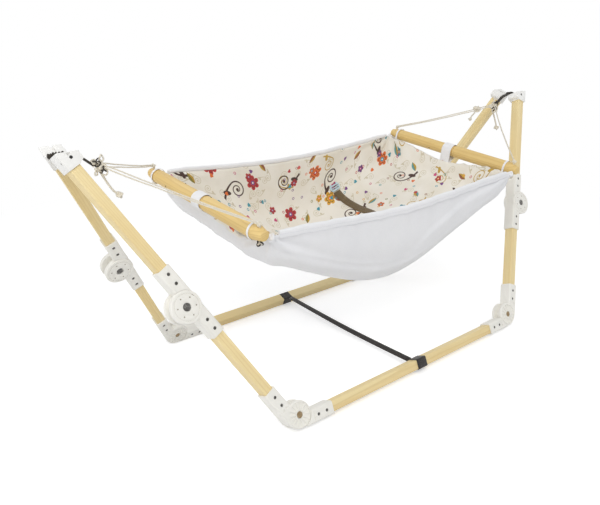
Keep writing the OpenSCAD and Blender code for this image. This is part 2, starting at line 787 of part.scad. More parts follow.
// Corner of the front loop's inside, where the band leaves it, in Y and Z
function strap_corner(out) =
    let(d = strap_in[0] + out, n = -strap_in[1] - out)
    [-rail_y + d * sin(side_lean) - n * cos(side_lean),
     rail_z + d * cos(side_lean) + n * sin(side_lean)];
module spread_strap() {
    a = strap_corner(strap_t - 2.2);
    color(dark_color) translate([strap_x, 0, 0]) along_x(strap_width) {
        for (m = [0, 1]) mirror([m, 0]) translate([-rail_y, rail_z]) rotate(90 - side_lean)
            difference() {
                planed(2 * (strap_in[0] + strap_t), 2 * (strap_in[1] + strap_t), wood_edge + 1);
                planed(2 * strap_in[0], 2 * strap_in[1], wood_edge);
            }
        polygon([
            a, [0, a[1] - strap_sag], [-a[0], a[1]],
            [-a[0], a[1] + strap_t], [0, a[1] - strap_sag + strap_t], [a[0], a[1] + strap_t],
        ]);
    }
}

// ---- The parts ----

for (s = SIDES) {
    rail(s);
    rail_screws(s);
    for (e = ENDS) {
        n = str(s, "_", e, "_");
        corner(s, e) rail_bracket();
        lower_bar(s, e);
        leg(s, e) corner_bracket();
        at_knee(s, e) rotate(180) lower_knee_bracket();
        pivot_bolts(s, e);
        lower_screws(s, e);
        upper_bar(s, e);
        at_knee(s, e) mirror([0, 1, 0]) upper_knee_bracket();
        cap(s, e);
        upper_screws(s, e);
    }
}
for (e = ENDS) {
    apex_cord(e);
    spreader_bar(e);
    bar_loops(e);
    ropes(e);
    rope_tail(e);
}
spread_strap();
bed_shell();
bed_lining();
rim_hems();
restraint_strap();
restraint_buckle();
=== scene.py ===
"""Baby hammock swinging between the tops of a folding wooden stand.

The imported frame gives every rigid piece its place. This script gives each piece its finish, makes the cloth,
ropes and knots as meshes in the space that their solids hold, and lights the whole in a plain pale studio.
All lengths are metres unless a name says otherwise.
"""

import json
import logging
import math
from collections.abc import Callable, Sequence
from dataclasses import dataclass, field
from enum import Enum

import bmesh
import bpy
import numpy as np
from mathutils import Matrix, Vector, noise

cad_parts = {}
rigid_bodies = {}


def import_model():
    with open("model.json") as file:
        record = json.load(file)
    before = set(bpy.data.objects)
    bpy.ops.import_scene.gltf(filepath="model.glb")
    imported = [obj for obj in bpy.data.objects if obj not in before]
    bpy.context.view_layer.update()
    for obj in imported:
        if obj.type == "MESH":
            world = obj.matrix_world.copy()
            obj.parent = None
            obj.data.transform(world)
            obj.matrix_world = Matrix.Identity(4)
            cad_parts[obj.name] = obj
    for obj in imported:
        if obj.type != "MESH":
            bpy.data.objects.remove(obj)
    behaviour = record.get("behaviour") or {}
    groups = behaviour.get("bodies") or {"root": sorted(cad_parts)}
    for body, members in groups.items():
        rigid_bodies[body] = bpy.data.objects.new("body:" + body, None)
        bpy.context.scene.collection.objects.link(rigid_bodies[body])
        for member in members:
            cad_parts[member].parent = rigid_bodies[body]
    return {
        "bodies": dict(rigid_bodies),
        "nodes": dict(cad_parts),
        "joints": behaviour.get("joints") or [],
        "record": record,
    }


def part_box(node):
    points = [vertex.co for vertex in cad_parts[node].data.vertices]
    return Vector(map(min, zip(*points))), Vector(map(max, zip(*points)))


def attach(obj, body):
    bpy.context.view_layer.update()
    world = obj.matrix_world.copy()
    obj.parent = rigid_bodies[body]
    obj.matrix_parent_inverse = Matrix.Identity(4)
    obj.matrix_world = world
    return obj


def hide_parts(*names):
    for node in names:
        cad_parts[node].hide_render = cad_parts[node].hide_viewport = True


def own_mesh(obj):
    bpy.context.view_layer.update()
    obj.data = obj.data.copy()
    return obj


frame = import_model()

LOG = logging.getLogger("cradle")
FRAME_WIDTH_PX = 600
Item, Material, Rows = bpy.types.Object, bpy.types.Material, np.ndarray
Point = tuple[float, float, float]
Colour = tuple[float, float, float, float]
WHITE = (1.0, 1.0, 1.0, 1.0)


class End(Enum):
    """The two ends of the cradle, with the sign of X at each."""

    LEFT = -1
    RIGHT = 1

    @property
    def word(self) -> str:
        """The end's name, as node names spell it."""
        return self.name.lower()


class Side(Enum):
    """The two side frames, with the sign of Y at each."""

    FRONT = -1
    BACK = 1

    @property
    def word(self) -> str:
        """The side's name, as node names spell it."""
        return self.name.lower()


@dataclass(frozen=True)
class Sizes:
    """The driving sizes of the stand and the cradle, as the frame has them."""

    half_span: float = 0.396
    side_lean: float = math.radians(22.3)
    leg_splay: float = math.radians(27.3)
    plane_reach: float = 0.721454
    lower_leg: float = 0.358
    leg_reach: float = 0.702
    pivot_height: float = 0.0354847
    sleeve_depth: float = 0.0314
    sleeve_width: float = 0.0354
    corner_gap: float = 0.002
    knee_gap: float = 0.001
    knee_proud: float = 0.002
    first_screw: float = 0.050
    screw_pitch: float = 0.0244
    screw_sunk: float = 0.0022
    screw_head_r: float = 0.0036
    spreader_half_span: float = 0.4415
    spreader_z: float = 0.4836
    spreader_half: float = 0.240
    spreader_r: float = 0.018
    spreader_end_r: float = 0.012
    spreader_taper: float = 0.030
    spreader_nose: float = 0.003
    bar_hole_r: float = 0.0152
    rope_hole_y: float = 0.224
    cradle_tilt: float = math.radians(6.5)
    tilt_drop: float = 0.066
    mass_drop: float = 0.086
    bed_depth: float = 0.240
    end_depth: float = 0.078
    bed_half_width: float = 0.235
    rim_sag: float = 0.026
    shell_t: float = 0.0024
    lining_t: float = 0.003
    cloth_gap: float = 0.0003
    rope_r: float = 0.0026
    apex_cord_r: float = 0.0024
    knot_x: float = 0.66395
    knot_z: float = 0.596981

    @property
    def half_spread(self) -> float:
        """Distance of each corner pivot from the middle, along Y."""
        return self.plane_reach * math.sin(self.side_lean)

    @property
    def knee_line(self) -> float:
        """Distance of a knee pivot from the corner pivot, across the leg."""
        return self.corner_gap + self.sleeve_depth + self.knee_gap

    @property
    def tilt_z(self) -> float:
        """Height of the line that the hanging cradle is tilted about."""
        return self.spreader_z - self.tilt_drop

    @property
    def hang_y(self) -> float:
        """Y of the apex knots, above the cradle's mass."""
        return (self.mass_drop - self.tilt_drop) * math.sin(self.cradle_tilt)


SIZES = Sizes()


def linear(red: int, green: int, blue: int, alpha: float = 1.0) -> Colour:
    """Turns a display colour into the linear one that shaders take.

    Args:
        red, green, blue: Channels from 0 to 255.
        alpha: Opacity.

    Returns:
        The linear colour with its alpha.
    """
    def channel(value: int) -> float:
        """One channel."""
        share = value / 255
        return share / 12.92 if share <= 0.04045 else ((share + 0.055) / 1.055) ** 2.4

    return (channel(red), channel(green), channel(blue), alpha)


# ---- Node building ----


def _takes_another(operation: str, swapped: bool = False) -> Callable:
    """A method that adds one Math node of a value and something else.

    Args:
        operation: The node's operation.
        swapped: Whether the value comes second.

    Returns:
        The method.
    """
    if swapped:
        return lambda value, other: value.graph.math(operation, other, value)
    return lambda value, other: value.graph.math(operation, value, other)


def _stands_alone(operation: str) -> Callable:
    """A method that adds one Math node of a value alone."""
    return lambda value: value.graph.math(operation, value)


class Value:
    """An output socket. Arithmetic on it adds Math nodes to its graph."""

    __add__, __radd__ = _takes_another("ADD"), _takes_another("ADD", True)
    __sub__, __rsub__ = _takes_another("SUBTRACT"), _takes_another("SUBTRACT", True)
    __mul__, __truediv__, __pow__ = (_takes_another(name) for name in ("MULTIPLY", "DIVIDE", "POWER"))
    __lt__, __gt__ = _takes_another("LESS_THAN"), _takes_another("GREATER_THAN")
    minimum, maximum, arctan2 = (_takes_another(name) for name in ("MINIMUM", "MAXIMUM", "ARCTAN2"))
    __abs__, fract, sine, cosine, root = (
        _stands_alone(name) for name in ("ABSOLUTE", "FRACT", "SINE", "COSINE", "SQRT"))

    def __init__(self, graph: "Graph", socket: bpy.types.NodeSocket) -> None:
        """Args: graph: The graph that it is in. socket: The output that it stands for."""
        self.graph, self.socket = graph, socket


class Step:
    """One node of a graph, whose outputs are read by name or number."""

    def __init__(self, graph: "Graph", node: bpy.types.Node) -> None:
        """Args: graph: The graph that it is in. node: The node."""
        self.graph, self.node = graph, node

    def __getitem__(self, key: str | int) -> Value:
        """One of the outputs."""
        return Value(self.graph, self.node.outputs[key])


class Graph:
    """Adds nodes to one tree, and links them as they are made."""

    def __init__(self, tree: bpy.types.NodeTree) -> None:
        """Args: tree: The tree of a material or of the world, or a node group."""
        self.tree = tree

    def add(self, kind: str, inputs: dict | None = None, **settings: object) -> Step:
        """Adds one node.

        Args:
            kind: The node's type, such as ShaderNodeMath.
            inputs: Input name or index to a number, a colour or the value that feeds it.
            settings: Attributes of the node.

        Returns:
            The new node.
        """
        node = self.tree.nodes.new(kind)
        for name, value in settings.items():
            setattr(node, name, value)
        self.feed(node, inputs or {})
        return Step(self, node)

    def feed(self, node: bpy.types.Node, inputs: dict) -> None:
        """Links values into a node's inputs, or sets them.

        Args:
            node: The node.
            inputs: Input name or index to what it takes; None leaves it alone.
        """
        for name, value in inputs.items():
            if isinstance(value, Value):
                self.tree.links.new(value.socket, node.inputs[name])
            elif value is not None:
                node.inputs[name].default_value = value

    def use(self, group: bpy.types.NodeTree, **inputs: object) -> Step:
        """Places a node group with its own inputs. Returns its node."""
        return self.add("ShaderNodeGroup", inputs, node_tree=group)

    def math(self, operation: str, *values: object) -> Value:
        """One Math node. Returns its output."""
        return self.add("ShaderNodeMath", dict(enumerate(values)), operation=operation)[0]

    def vector(self, operation: str, *values: object) -> Step:
        """One Vector Math node. Returns the node."""
        return self.add("ShaderNodeVectorMath", dict(enumerate(values)), operation=operation)

    def split(self, vector: Value) -> Step:
        """The three parts of a vector. Returns the node."""
        return self.add("ShaderNodeSeparateXYZ", {0: vector})

    def place(self) -> Value:
        """The place in the object's own space, in metres."""
        return self.add("ShaderNodeTexCoord")["Object"]

    def cloth(self) -> Value:
        """The place on the flat cloth, in metres, from the piece's UV map."""
        return self.add("ShaderNodeUVMap", uv_map="cloth")[0]

    def attribute(self, name: str, kind: str = "Fac") -> Value:
        """An attribute of the mesh, as the named output gives it."""
        return self.add("ShaderNodeAttribute", attribute_name=name)[kind]

    def mix(self, share: object, first: object, second: object) -> Value:
        """Mixes two colours. Returns the colour."""
        return self.add("ShaderNodeMix", {0: share, 6: first, 7: second}, data_type="RGBA")[2]

    def noise(self, vector: Value, scale: object, detail: float = 2.0, rough: float = 0.5,
              distortion: float = 0.0) -> Value:
        """Noise with a value around 0.5. Returns the value."""
        return self.add("ShaderNodeTexNoise", {"Vector": vector, "Scale": scale, "Detail": detail,
                                               "Roughness": rough, "Distortion": distortion})[0]

    def stretched(self, vector: Value, scale: Point, detail: float, rough: float = 0.5) -> Value:
        """Noise whose grain has another size along each axis. Returns the value."""
        return self.noise(self.add("ShaderNodeMapping", {"Vector": vector, "Scale": scale})[0], 1.0, detail, rough)

    def ramp(self, value: Value, stops: Sequence[tuple[float, Colour]], interpolation: str = "LINEAR") -> Value:
        """A colour ramp with the given stops. Returns the colour."""
        step = self.add("ShaderNodeValToRGB", {0: value})
        band = step.node.color_ramp
        band.interpolation = interpolation
        while len(band.elements) < len(stops):
            band.elements.new(1.0)
        for element, (place, colour) in zip(band.elements, stops):
            element.position = place
            element.color = colour
        return step[0]

    def smooth(self, value: Value, low: float, high: float) -> Value:
        """0 below low, 1 above high, smooth between. Returns the value."""
        return self.add("ShaderNodeMapRange", {0: value, 1: low, 2: high, 3: 0.0, 4: 1.0},
                        interpolation_type="SMOOTHSTEP")[0]

    def bump(self, height: Value, strength: float, distance: float, normal: Value | None = None) -> Value:
        """A bump from a height, over another normal if given. Returns the normal."""
        return self.add("ShaderNodeBump", {"Strength": strength, "Distance": distance, "Height": height,
                                           "Normal": normal})[0]


class Group(Graph):
    """A shader node group with named inputs and outputs."""

    def __init__(self, name: str, inputs: dict[str, float | Point], outputs: dict[str, str]) -> None:
        """Starts the group.

        Args:
            name: The group's name.
            inputs: Input names to default values; a triple makes a vector socket.
            outputs: Output names to the kinds of their sockets.
        """
        super().__init__(bpy.data.node_groups.new(name, "ShaderNodeTree"))
        for key, value in inputs.items():
            kind = "NodeSocketVector" if isinstance(value, tuple) else "NodeSocketFloat"
            self.tree.interface.new_socket(key, in_out="INPUT", socket_type=kind).default_value = value
        for key, kind in outputs.items():
            self.tree.interface.new_socket(key, in_out="OUTPUT", socket_type=f"NodeSocket{kind}")
        source = self.add("NodeGroupInput")
        self.given = {key: source[key] for key in inputs}

    def put(self, **outputs: Value) -> bpy.types.NodeTree:
        """Feeds the outputs. Returns the finished group."""
        self.add("NodeGroupOutput", outputs)
        return self.tree


class Groups:
    """Shader node groups that several finishes share, each built once."""

    def __init__(self) -> None:
        """Builds all the groups."""
        self.weave = self._weave()
        self.handled = self._handled()
        self.scatter = self._scatter()

    def _weave(self) -> bpy.types.NodeTree:
        """Plain weave: threads over and under each other. Puts out their height."""
        group = Group("PlainWeave", {"Vector": (0.0, 0.0, 0.0), "Threads": 600.0}, {"Height": "Float"})
        flat = group.given["Vector"]
        parts = group.split(flat)
        weft, warp = ((parts[axis] * group.given["Threads"] * math.pi).sine() for axis in (0, 1))
        return group.put(Height=weft * warp * 0.5 + group.noise(flat, 900.0) * 0.5)

    def _handled(self) -> bpy.types.NodeTree:
        """Faint uneven marks from handling. Puts out a value near 0, up to 1 in patches."""
        group = Group("HandledMarks", {"Vector": (0.0, 0.0, 0.0), "Scale": 18.0}, {"Marks": "Float"})
        place = group.given["Vector"]
        wide = group.noise(place, group.given["Scale"], 4.0, 0.6)
        return group.put(Marks=group.smooth(wide, 0.45, 0.75) * group.noise(place, 240.0, 3.0, 0.7))

    def _scatter(self) -> bpy.types.NodeTree:
        """Scattered places for one kind of motif: the place inside the motif, turned at random, and two draws."""
        group = Group(
            "ScatteredMotifs",
            {"Vector": (0.0, 0.0, 0.0), "Spacing": 0.1, "Offset": (0.0, 0.0, 0.0), "Jitter": 0.6, "Turn": 1.0},
            {"Place": "Vector", "Draw": "Float", "Draw2": "Float"})
        given = group.given
        spacing = group.add("ShaderNodeCombineXYZ", {axis: given["Spacing"] for axis in range(3)})[0]
        cells = group.vector("DIVIDE", group.vector("ADD", given["Vector"], given["Offset"])[0], spacing)[0]
        voronoi = group.add("ShaderNodeTexVoronoi", {"Vector": cells, "Scale": 1.0, "Randomness": given["Jitter"]},
                            voronoi_dimensions="2D", feature="F1")
        local = group.vector("SUBTRACT", cells, voronoi["Position"])[0]
        draws = group.split(voronoi["Color"])
        turned = group.add("ShaderNodeVectorRotate", {"Vector": local, "Angle": draws[2] * math.tau * given["Turn"]},
                           rotation_type="Z_AXIS")[0]
        return group.put(Place=group.vector("MULTIPLY", turned, spacing)[0], Draw=draws[0], Draw2=draws[1])


# ---- Finishes ----


@dataclass(frozen=True)
class Finish:
    """What every finish shares: its name, and a principled shader that its looks feed."""

    name: str

    def build(self, groups: Groups) -> Material:
        """Makes the material.

        Args:
            groups: The shared node groups.

        Returns:
            The material.
        """
        material = bpy.data.materials.new(self.name)
        material.use_nodes = True
        graph = Graph(material.node_tree)
        shader = next(node for node in material.node_tree.nodes if node.type == "BSDF_PRINCIPLED")
        graph.feed(shader, self.looks(graph, groups))
        return material

    def looks(self, graph: Graph, groups: Groups) -> dict[str, object]:
        """Adds the finish's own nodes.

        Args:
            graph: The material's graph.
            groups: The shared node groups.

        Returns:
            The shader's inputs by name.
        """
        raise NotImplementedError


@dataclass(frozen=True)
class WoodFinish(Finish):
    """Planed softwood: growth rings cut lengthwise, fine fibres and a satin oil finish."""

    pale: Colour
    warm: Colour
    late: Colour
    ring: float = 0.0042
    contrast: float = 0.36
    roughness: float = 0.48
    heart: tuple[float, float] = (0.021, 0.034)

    def looks(self, graph: Graph, groups: Groups) -> dict[str, object]:
        """Reads the grain attribute, in metres with X along the bar."""
        grain = graph.attribute("grain", "Vector")
        drift = graph.stretched(grain, (1.6, 22.0, 22.0), 3.0, 0.55)
        parts = graph.split(grain)
        radius = ((parts[1] + self.heart[0]) ** 2.0 + (parts[2] + self.heart[1]) ** 2.0).root()
        late = graph.ramp(((radius + drift * 0.014) / self.ring).fract(), [
            (0.0, (0, 0, 0, 1)), (0.55, (0.12, 0.12, 0.12, 1)), (0.86, (1, 1, 1, 1)), (1.0, (0, 0, 0, 1))])
        fibres = graph.stretched(grain, (9.0, 900.0, 900.0), 3.0, 0.7)
        patches = graph.stretched(grain, (3.0, 30.0, 30.0), 2.0)
        pores = graph.stretched(grain, (60.0, 2400.0, 2400.0), 1.0)
        base = graph.mix(graph.smooth(patches, 0.3, 0.7), self.pale, self.warm)
        banded = graph.mix(late * self.contrast, base, self.late)
        return {"Base Color": graph.mix(graph.smooth(fibres, 0.52, 0.78) * 0.16, banded, self.late),
                "Roughness": self.roughness + fibres * 0.18,
                "Normal": graph.bump(fibres * 0.6 + pores * 0.4, 0.35, 0.00025),
                "Coat Weight": 0.12, "Coat Roughness": 0.35}


@dataclass(frozen=True)
class MouldedFinish(Finish):
    """Moulded nylon or similar: a fine spark-eroded skin, flow marks and a little grime from handling."""

    base: Colour
    grime: Colour
    roughness: float = 0.42
    speck: float = 1500.0
    soil: float = 0.22
    depth: float = 0.00003

    def looks(self, graph: Graph, groups: Groups) -> dict[str, object]:
        """Reads the place in the object's own space."""
        place = graph.place()
        marks = graph.use(groups.handled, Vector=place, Scale=16.0)["Marks"]
        clouds = graph.noise(place, 9.0, 3.0)
        flow = graph.noise(place, 60.0, 2.0, 0.5, 1.5)
        soiled = marks * self.soil + graph.smooth(clouds, 0.35, 0.8) * 0.10
        return {"Base Color": graph.mix(soiled, self.base, self.grime),
                "Roughness": self.roughness + marks * 0.25 + flow * 0.06,
                "Normal": graph.bump(graph.noise(place, self.speck, 2.0, 0.6), 0.3, self.depth),
                "Specular IOR Level": 0.45}


@dataclass(frozen=True)
class SteelFinish(Finish):
    """Plated steel or brass of bolts and screws, rubbed brighter where a tool has touched it."""

    dark: Colour
    bright: Colour
    roughness: float = 0.36

    def looks(self, graph: Graph, groups: Groups) -> dict[str, object]:
        """Reads the place in the object's own space."""
        place = graph.place()
        marks = graph.use(groups.handled, Vector=place, Scale=260.0)["Marks"]
        return {"Base Color": graph.mix(marks, self.dark, self.bright), "Metallic": 0.85,
                "Roughness": self.roughness + marks * 0.2,
                "Normal": graph.bump(graph.noise(place, 3000.0), 0.3, 0.00004)}


@dataclass(frozen=True)
class ClothFinish(Finish):
    """Plain woven cotton, soft and matt, with slubs in the yarn."""

    base: Colour
    shade: Colour
    threads: float = 1300.0

    def looks(self, graph: Graph, groups: Groups) -> dict[str, object]:
        """Reads the piece's UV map, which is in metres."""
        flat, place = graph.cloth(), graph.place()
        weave = graph.use(groups.weave, Vector=flat, Threads=self.threads)["Height"]
        slubs = graph.stretched(flat, (60.0, 700.0, 1.0), 2.0, 0.6)
        yarn = (slubs + graph.stretched(flat, (700.0, 60.0, 1.0), 2.0, 0.6)) * 0.5
        clouds = graph.noise(place, 7.0, 3.0)
        share = graph.smooth(yarn, 0.42, 0.62) * 0.25 + graph.smooth(clouds, 0.35, 0.75) * 0.35
        rumples = graph.bump(graph.noise(place, 46.0, 4.0, 0.55, 0.4), 0.35, 0.0016)
        return {"Base Color": graph.mix(share, self.base, self.shade),
                "Roughness": 0.84 + yarn * 0.15,
                "Normal": graph.bump(weave * 0.6 + yarn * 0.6, 0.4, 0.0002, rumples),
                "Sheen Weight": 0.25, "Sheen Roughness": 0.6}


@dataclass(frozen=True)
class Motif:
    """One kind of printed motif: how far apart its places are, where they start, its own size and how many show."""

    spacing: float
    offset: Point
    size: float
    share: float
    jitter: float = 0.55
    turn: float = 1.0


@dataclass(frozen=True)
class PrintedFinish(Finish):
    """Cream cotton printed with curling scrolls, bright blossoms, leaves, hearts and specks."""

    ground: Colour
    warm_ground: Colour
    faint: Colour
    stem: Colour
    gold: Colour
    bright: tuple[Colour, ...]
    leaves: tuple[Colour, ...]
    threads: float = 1300.0
    faint_scrolls: tuple[Motif, ...] = (Motif(0.083, (0.11, 0.42, 0.0), 0.0056, 0.95, 0.8),
                                        Motif(0.064, (0.57, 0.05, 0.0), 0.0056, 0.95, 0.8))
    gold_scrolls: Motif = Motif(0.158, (0.37, 0.81, 0.0), 0.0102, 0.80, 0.42)
    dark_scrolls: Motif = Motif(0.186, (0.05, 0.28, 0.0), 0.0126, 0.90, 0.36)
    large_blossoms: Motif = Motif(0.136, (0.31, 0.77, 0.0), 0.0225, 0.66)
    small_blossoms: Motif = Motif(0.084, (0.93, 0.18, 0.0), 0.0118, 0.52)
    blades: Motif = Motif(0.094, (0.62, 0.47, 0.0), 0.017, 0.42)
    hearts: Motif = Motif(0.051, (0.23, 0.61, 0.0), 0.0060, 0.36, 0.85)
    rings: Motif = Motif(0.033, (0.83, 0.29, 0.0), 0.0032, 0.26, 0.9)

    def looks(self, graph: Graph, groups: Groups) -> dict[str, object]:
        """Reads the piece's UV map, which is in metres."""
        flat, place = graph.cloth(), graph.place()
        clouds = graph.smooth(graph.noise(flat, 9.0, 3.0), 0.35, 0.7)
        cloth = Print(graph, groups, flat, graph.mix(clouds, self.ground, self.warm_ground), self)
        for motif in self.faint_scrolls:
            cloth.scrolls(motif, self.faint, 0.0009)
        cloth.scrolls(self.gold_scrolls, self.gold, 0.0013)
        cloth.scrolls(self.dark_scrolls, self.stem, 0.0021)
        cloth.blossoms(self.large_blossoms, 6)
        cloth.blossoms(self.small_blossoms, 5)
        cloth.blades(self.blades)
        cloth.hearts(self.hearts)
        cloth.rings(self.rings)
        weave = graph.use(groups.weave, Vector=flat, Threads=self.threads)["Height"]
        yarn = graph.stretched(flat, (80.0, 700.0, 1.0), 2.0, 0.6)
        rumples = graph.bump(graph.noise(place, 38.0, 4.0, 0.55, 0.3), 0.35, 0.0018)
        return {"Base Color": graph.mix(graph.smooth(yarn, 0.5, 0.75) * 0.12, cloth.colour, self.faint),
                "Roughness": 0.82 + yarn * 0.14,
                "Normal": graph.bump(weave * 0.6 + yarn * 0.5, 0.4, 0.0002, rumples),
                "Sheen Weight": 0.2, "Sheen Roughness": 0.6}


@dataclass
class Print:
    """The print as it grows: each kind of motif is laid over the colour so far."""

    graph: Graph
    groups: Groups
    flat: Value
    colour: Value
    inks: PrintedFinish
    scroll_turns: float = 2.0

    def _scatter(self, motif: Motif) -> tuple[Value, ...]:
        """Scattered places of one motif. Returns x, y, radius, angle, the mask of places used and a draw."""
        found = self.graph.use(self.groups.scatter, Vector=self.flat, Spacing=motif.spacing, Offset=motif.offset,
                               Jitter=motif.jitter, Turn=motif.turn)
        parts = self.graph.split(found["Place"])
        radius = self.graph.vector("LENGTH", found["Place"])["Value"]
        return parts[0], parts[1], radius, parts[1].arctan2(parts[0]), found["Draw2"] < motif.share, found["Draw"]

    def _pick(self, draw: Value, colours: Sequence[Colour]) -> Value:
        """One of the colours by a draw from 0 to 1."""
        stops = [(index / len(colours), colour) for index, colour in enumerate(colours)]
        return self.graph.ramp(draw, stops, "CONSTANT")

    def _inside(self, distance: Value, soft: float = 0.0004) -> Value:
        """1 where the signed distance is below 0, 0 where it is above, soft between."""
        return self.graph.smooth(distance * -1.0, -soft, soft)

    def _lay(self, distance: Value, shown: Value, ink: object, soft: float = 0.0004) -> None:
        """Prints ink over the colour so far.

        Args:
            distance: Signed distance from the outline, below 0 inside it.
            shown: 1 in the places that carry the motif.
            ink: Its colour.
            soft: Half the width of the outline's blur.
        """
        self.colour = self.graph.mix(self._inside(distance, soft) * shown, self.colour, ink)

    def scrolls(self, motif: Motif, ink: Colour, line: float) -> None:
        """Prints stems that curl up into a spiral, with a leaf and a bud.

        Args:
            motif: Their places; the size is the distance between two turns.
            ink: Their colour.
            line: Half the thickness of the stem.
        """
        x, y, radius, angle, shown, _ = self._scatter(motif)
        pitch = motif.size
        spiral = self.scroll_turns * pitch
        course = radius / pitch - angle / math.tau
        curl = abs(course.fract() - 0.5) * pitch - (line * 0.55 + radius * (line * 0.45 / spiral))
        curl = curl.maximum((course - self.scroll_turns) * pitch)
        down, reach = y * -1.0, spiral * 2.3
        side = abs(x + spiral - y * y * 4.5)
        stem = (side - (line + down * (line * 0.9 / reach))).maximum((down - reach).maximum(y))
        leaf_x, leaf_y = x + spiral * 0.62, y + reach * 0.62
        along, across = (leaf_x + leaf_y) / (pitch * 1.5), (leaf_x - leaf_y) / (pitch * 0.75)
        leaf = (along * along + across * across - 1.0) * (pitch * 0.4)
        self._lay(curl.minimum(stem).minimum(leaf.minimum(radius - line * 2.2)), shown, ink)

    def blossoms(self, motif: Motif, petals: int) -> None:
        """Prints blossoms with a ring and an eye.

        Args:
            motif: Their places and their radius.
            petals: How many petals each has.
        """
        _, _, radius, angle, shown, draw = self._scatter(motif)
        edge = (abs((angle * (petals / 2)).cosine()) ** 0.6 * 0.46 + 0.54) * motif.size
        self._lay(radius - edge, shown, self._pick(draw, self.inks.bright))
        self._lay(abs(radius - edge * 0.66) - motif.size * 0.045, shown, self.inks.stem)
        self._lay(radius - motif.size * 0.30, shown, self._pick((draw + 0.43).fract(), self.inks.bright))
        self._lay(radius - motif.size * 0.12, shown, self.inks.ground)

    def blades(self, motif: Motif, half_width: float = 0.0072) -> None:
        """Prints broad two-toned leaves in dull colours.

        Args:
            motif: Their places and half their length.
            half_width: Half their width.
        """
        x, y, _, _, shown, draw = self._scatter(motif)
        long = x / motif.size
        tone = self.graph.mix(y > 0.0, self._pick(draw, self.inks.leaves), self.inks.gold)
        tone = self.graph.mix(self._inside(abs(y) - 0.0005), tone, self.inks.stem)
        self._lay(abs(y) - (1.0 - long * long) * half_width, shown, tone)

    def hearts(self, motif: Motif) -> None:
        """Prints small hearts in bright colours."""
        x, y, _, _, shown, draw = self._scatter(motif)
        wide = abs(x) / motif.size
        lift = y / motif.size - wide.root() * 0.75
        self._lay(wide * wide + lift * lift - 0.85, shown, self._pick(draw, self.inks.bright), 0.12)

    def rings(self, motif: Motif) -> None:
        """Prints small rings in any of the colours."""
        _, _, radius, _, shown, draw = self._scatter(motif)
        self._lay(abs(radius - motif.size) - 0.0009, shown,
                  self._pick(draw, self.inks.bright + self.inks.leaves), 0.0003)


@dataclass(frozen=True)
class WebbingFinish(Finish):
    """Woven tape: slanting ribs, a dry nap, and patches worn paler."""

    base: Colour
    worn: Colour
    rib: float = 0.0012

    def looks(self, graph: Graph, groups: Groups) -> dict[str, object]:
        """Reads the piece's UV map, in metres with X along the tape."""
        flat = graph.cloth()
        parts = graph.split(flat)
        lean = abs((parts[1] / (5 * self.rib)).fract() - 0.5)
        ribs = ((parts[0] / self.rib + lean * 2.4) * math.tau).sine()
        nap = graph.noise(flat, 1400.0, 3.0, 0.7)
        wear = graph.noise(flat, 45.0, 3.0, 0.6)
        share = graph.smooth(wear, 0.5, 0.8) * 0.5 + graph.smooth(ribs, 0.2, 1.0) * 0.25
        return {"Base Color": graph.mix(share, self.base, self.worn), "Roughness": 0.72 + nap * 0.2,
                "Normal": graph.bump(ribs * 0.6 + nap * 0.5, 0.6, 0.0003), "Sheen Weight": 0.3}


@dataclass(frozen=True)
class CordFinish(Finish):
    """Yarn of a twisted rope or a braided cord."""

    base: Colour
    shade: Colour
    plaits: float
    pitch: float
    depth: float

    def looks(self, graph: Graph, groups: Groups) -> dict[str, object]:
        """Reads the attributes that the cord's mesh carries."""
        angle = graph.attribute("round_sine").arctan2(graph.attribute("round_cosine")) * self.plaits
        travel = graph.attribute("along") * (math.tau / self.pitch)
        plait = (travel + angle).sine().maximum((travel - angle).sine())
        fluff = graph.noise(graph.place(), 900.0, 3.0, 0.7)
        # Between the plaits the colour goes towards the shade colour: painted shade in the grooves, with a random fluff
        # tone.
        share = graph.smooth(plait, 0.6, -0.1) * 0.5 + fluff * 0.3
        return {"Base Color": graph.mix(share, self.base, self.shade), "Roughness": 0.72 + fluff * 0.2,
                "Normal": graph.bump(plait * 0.6 + fluff * 0.5, 0.55, self.depth), "Sheen Weight": 0.25}


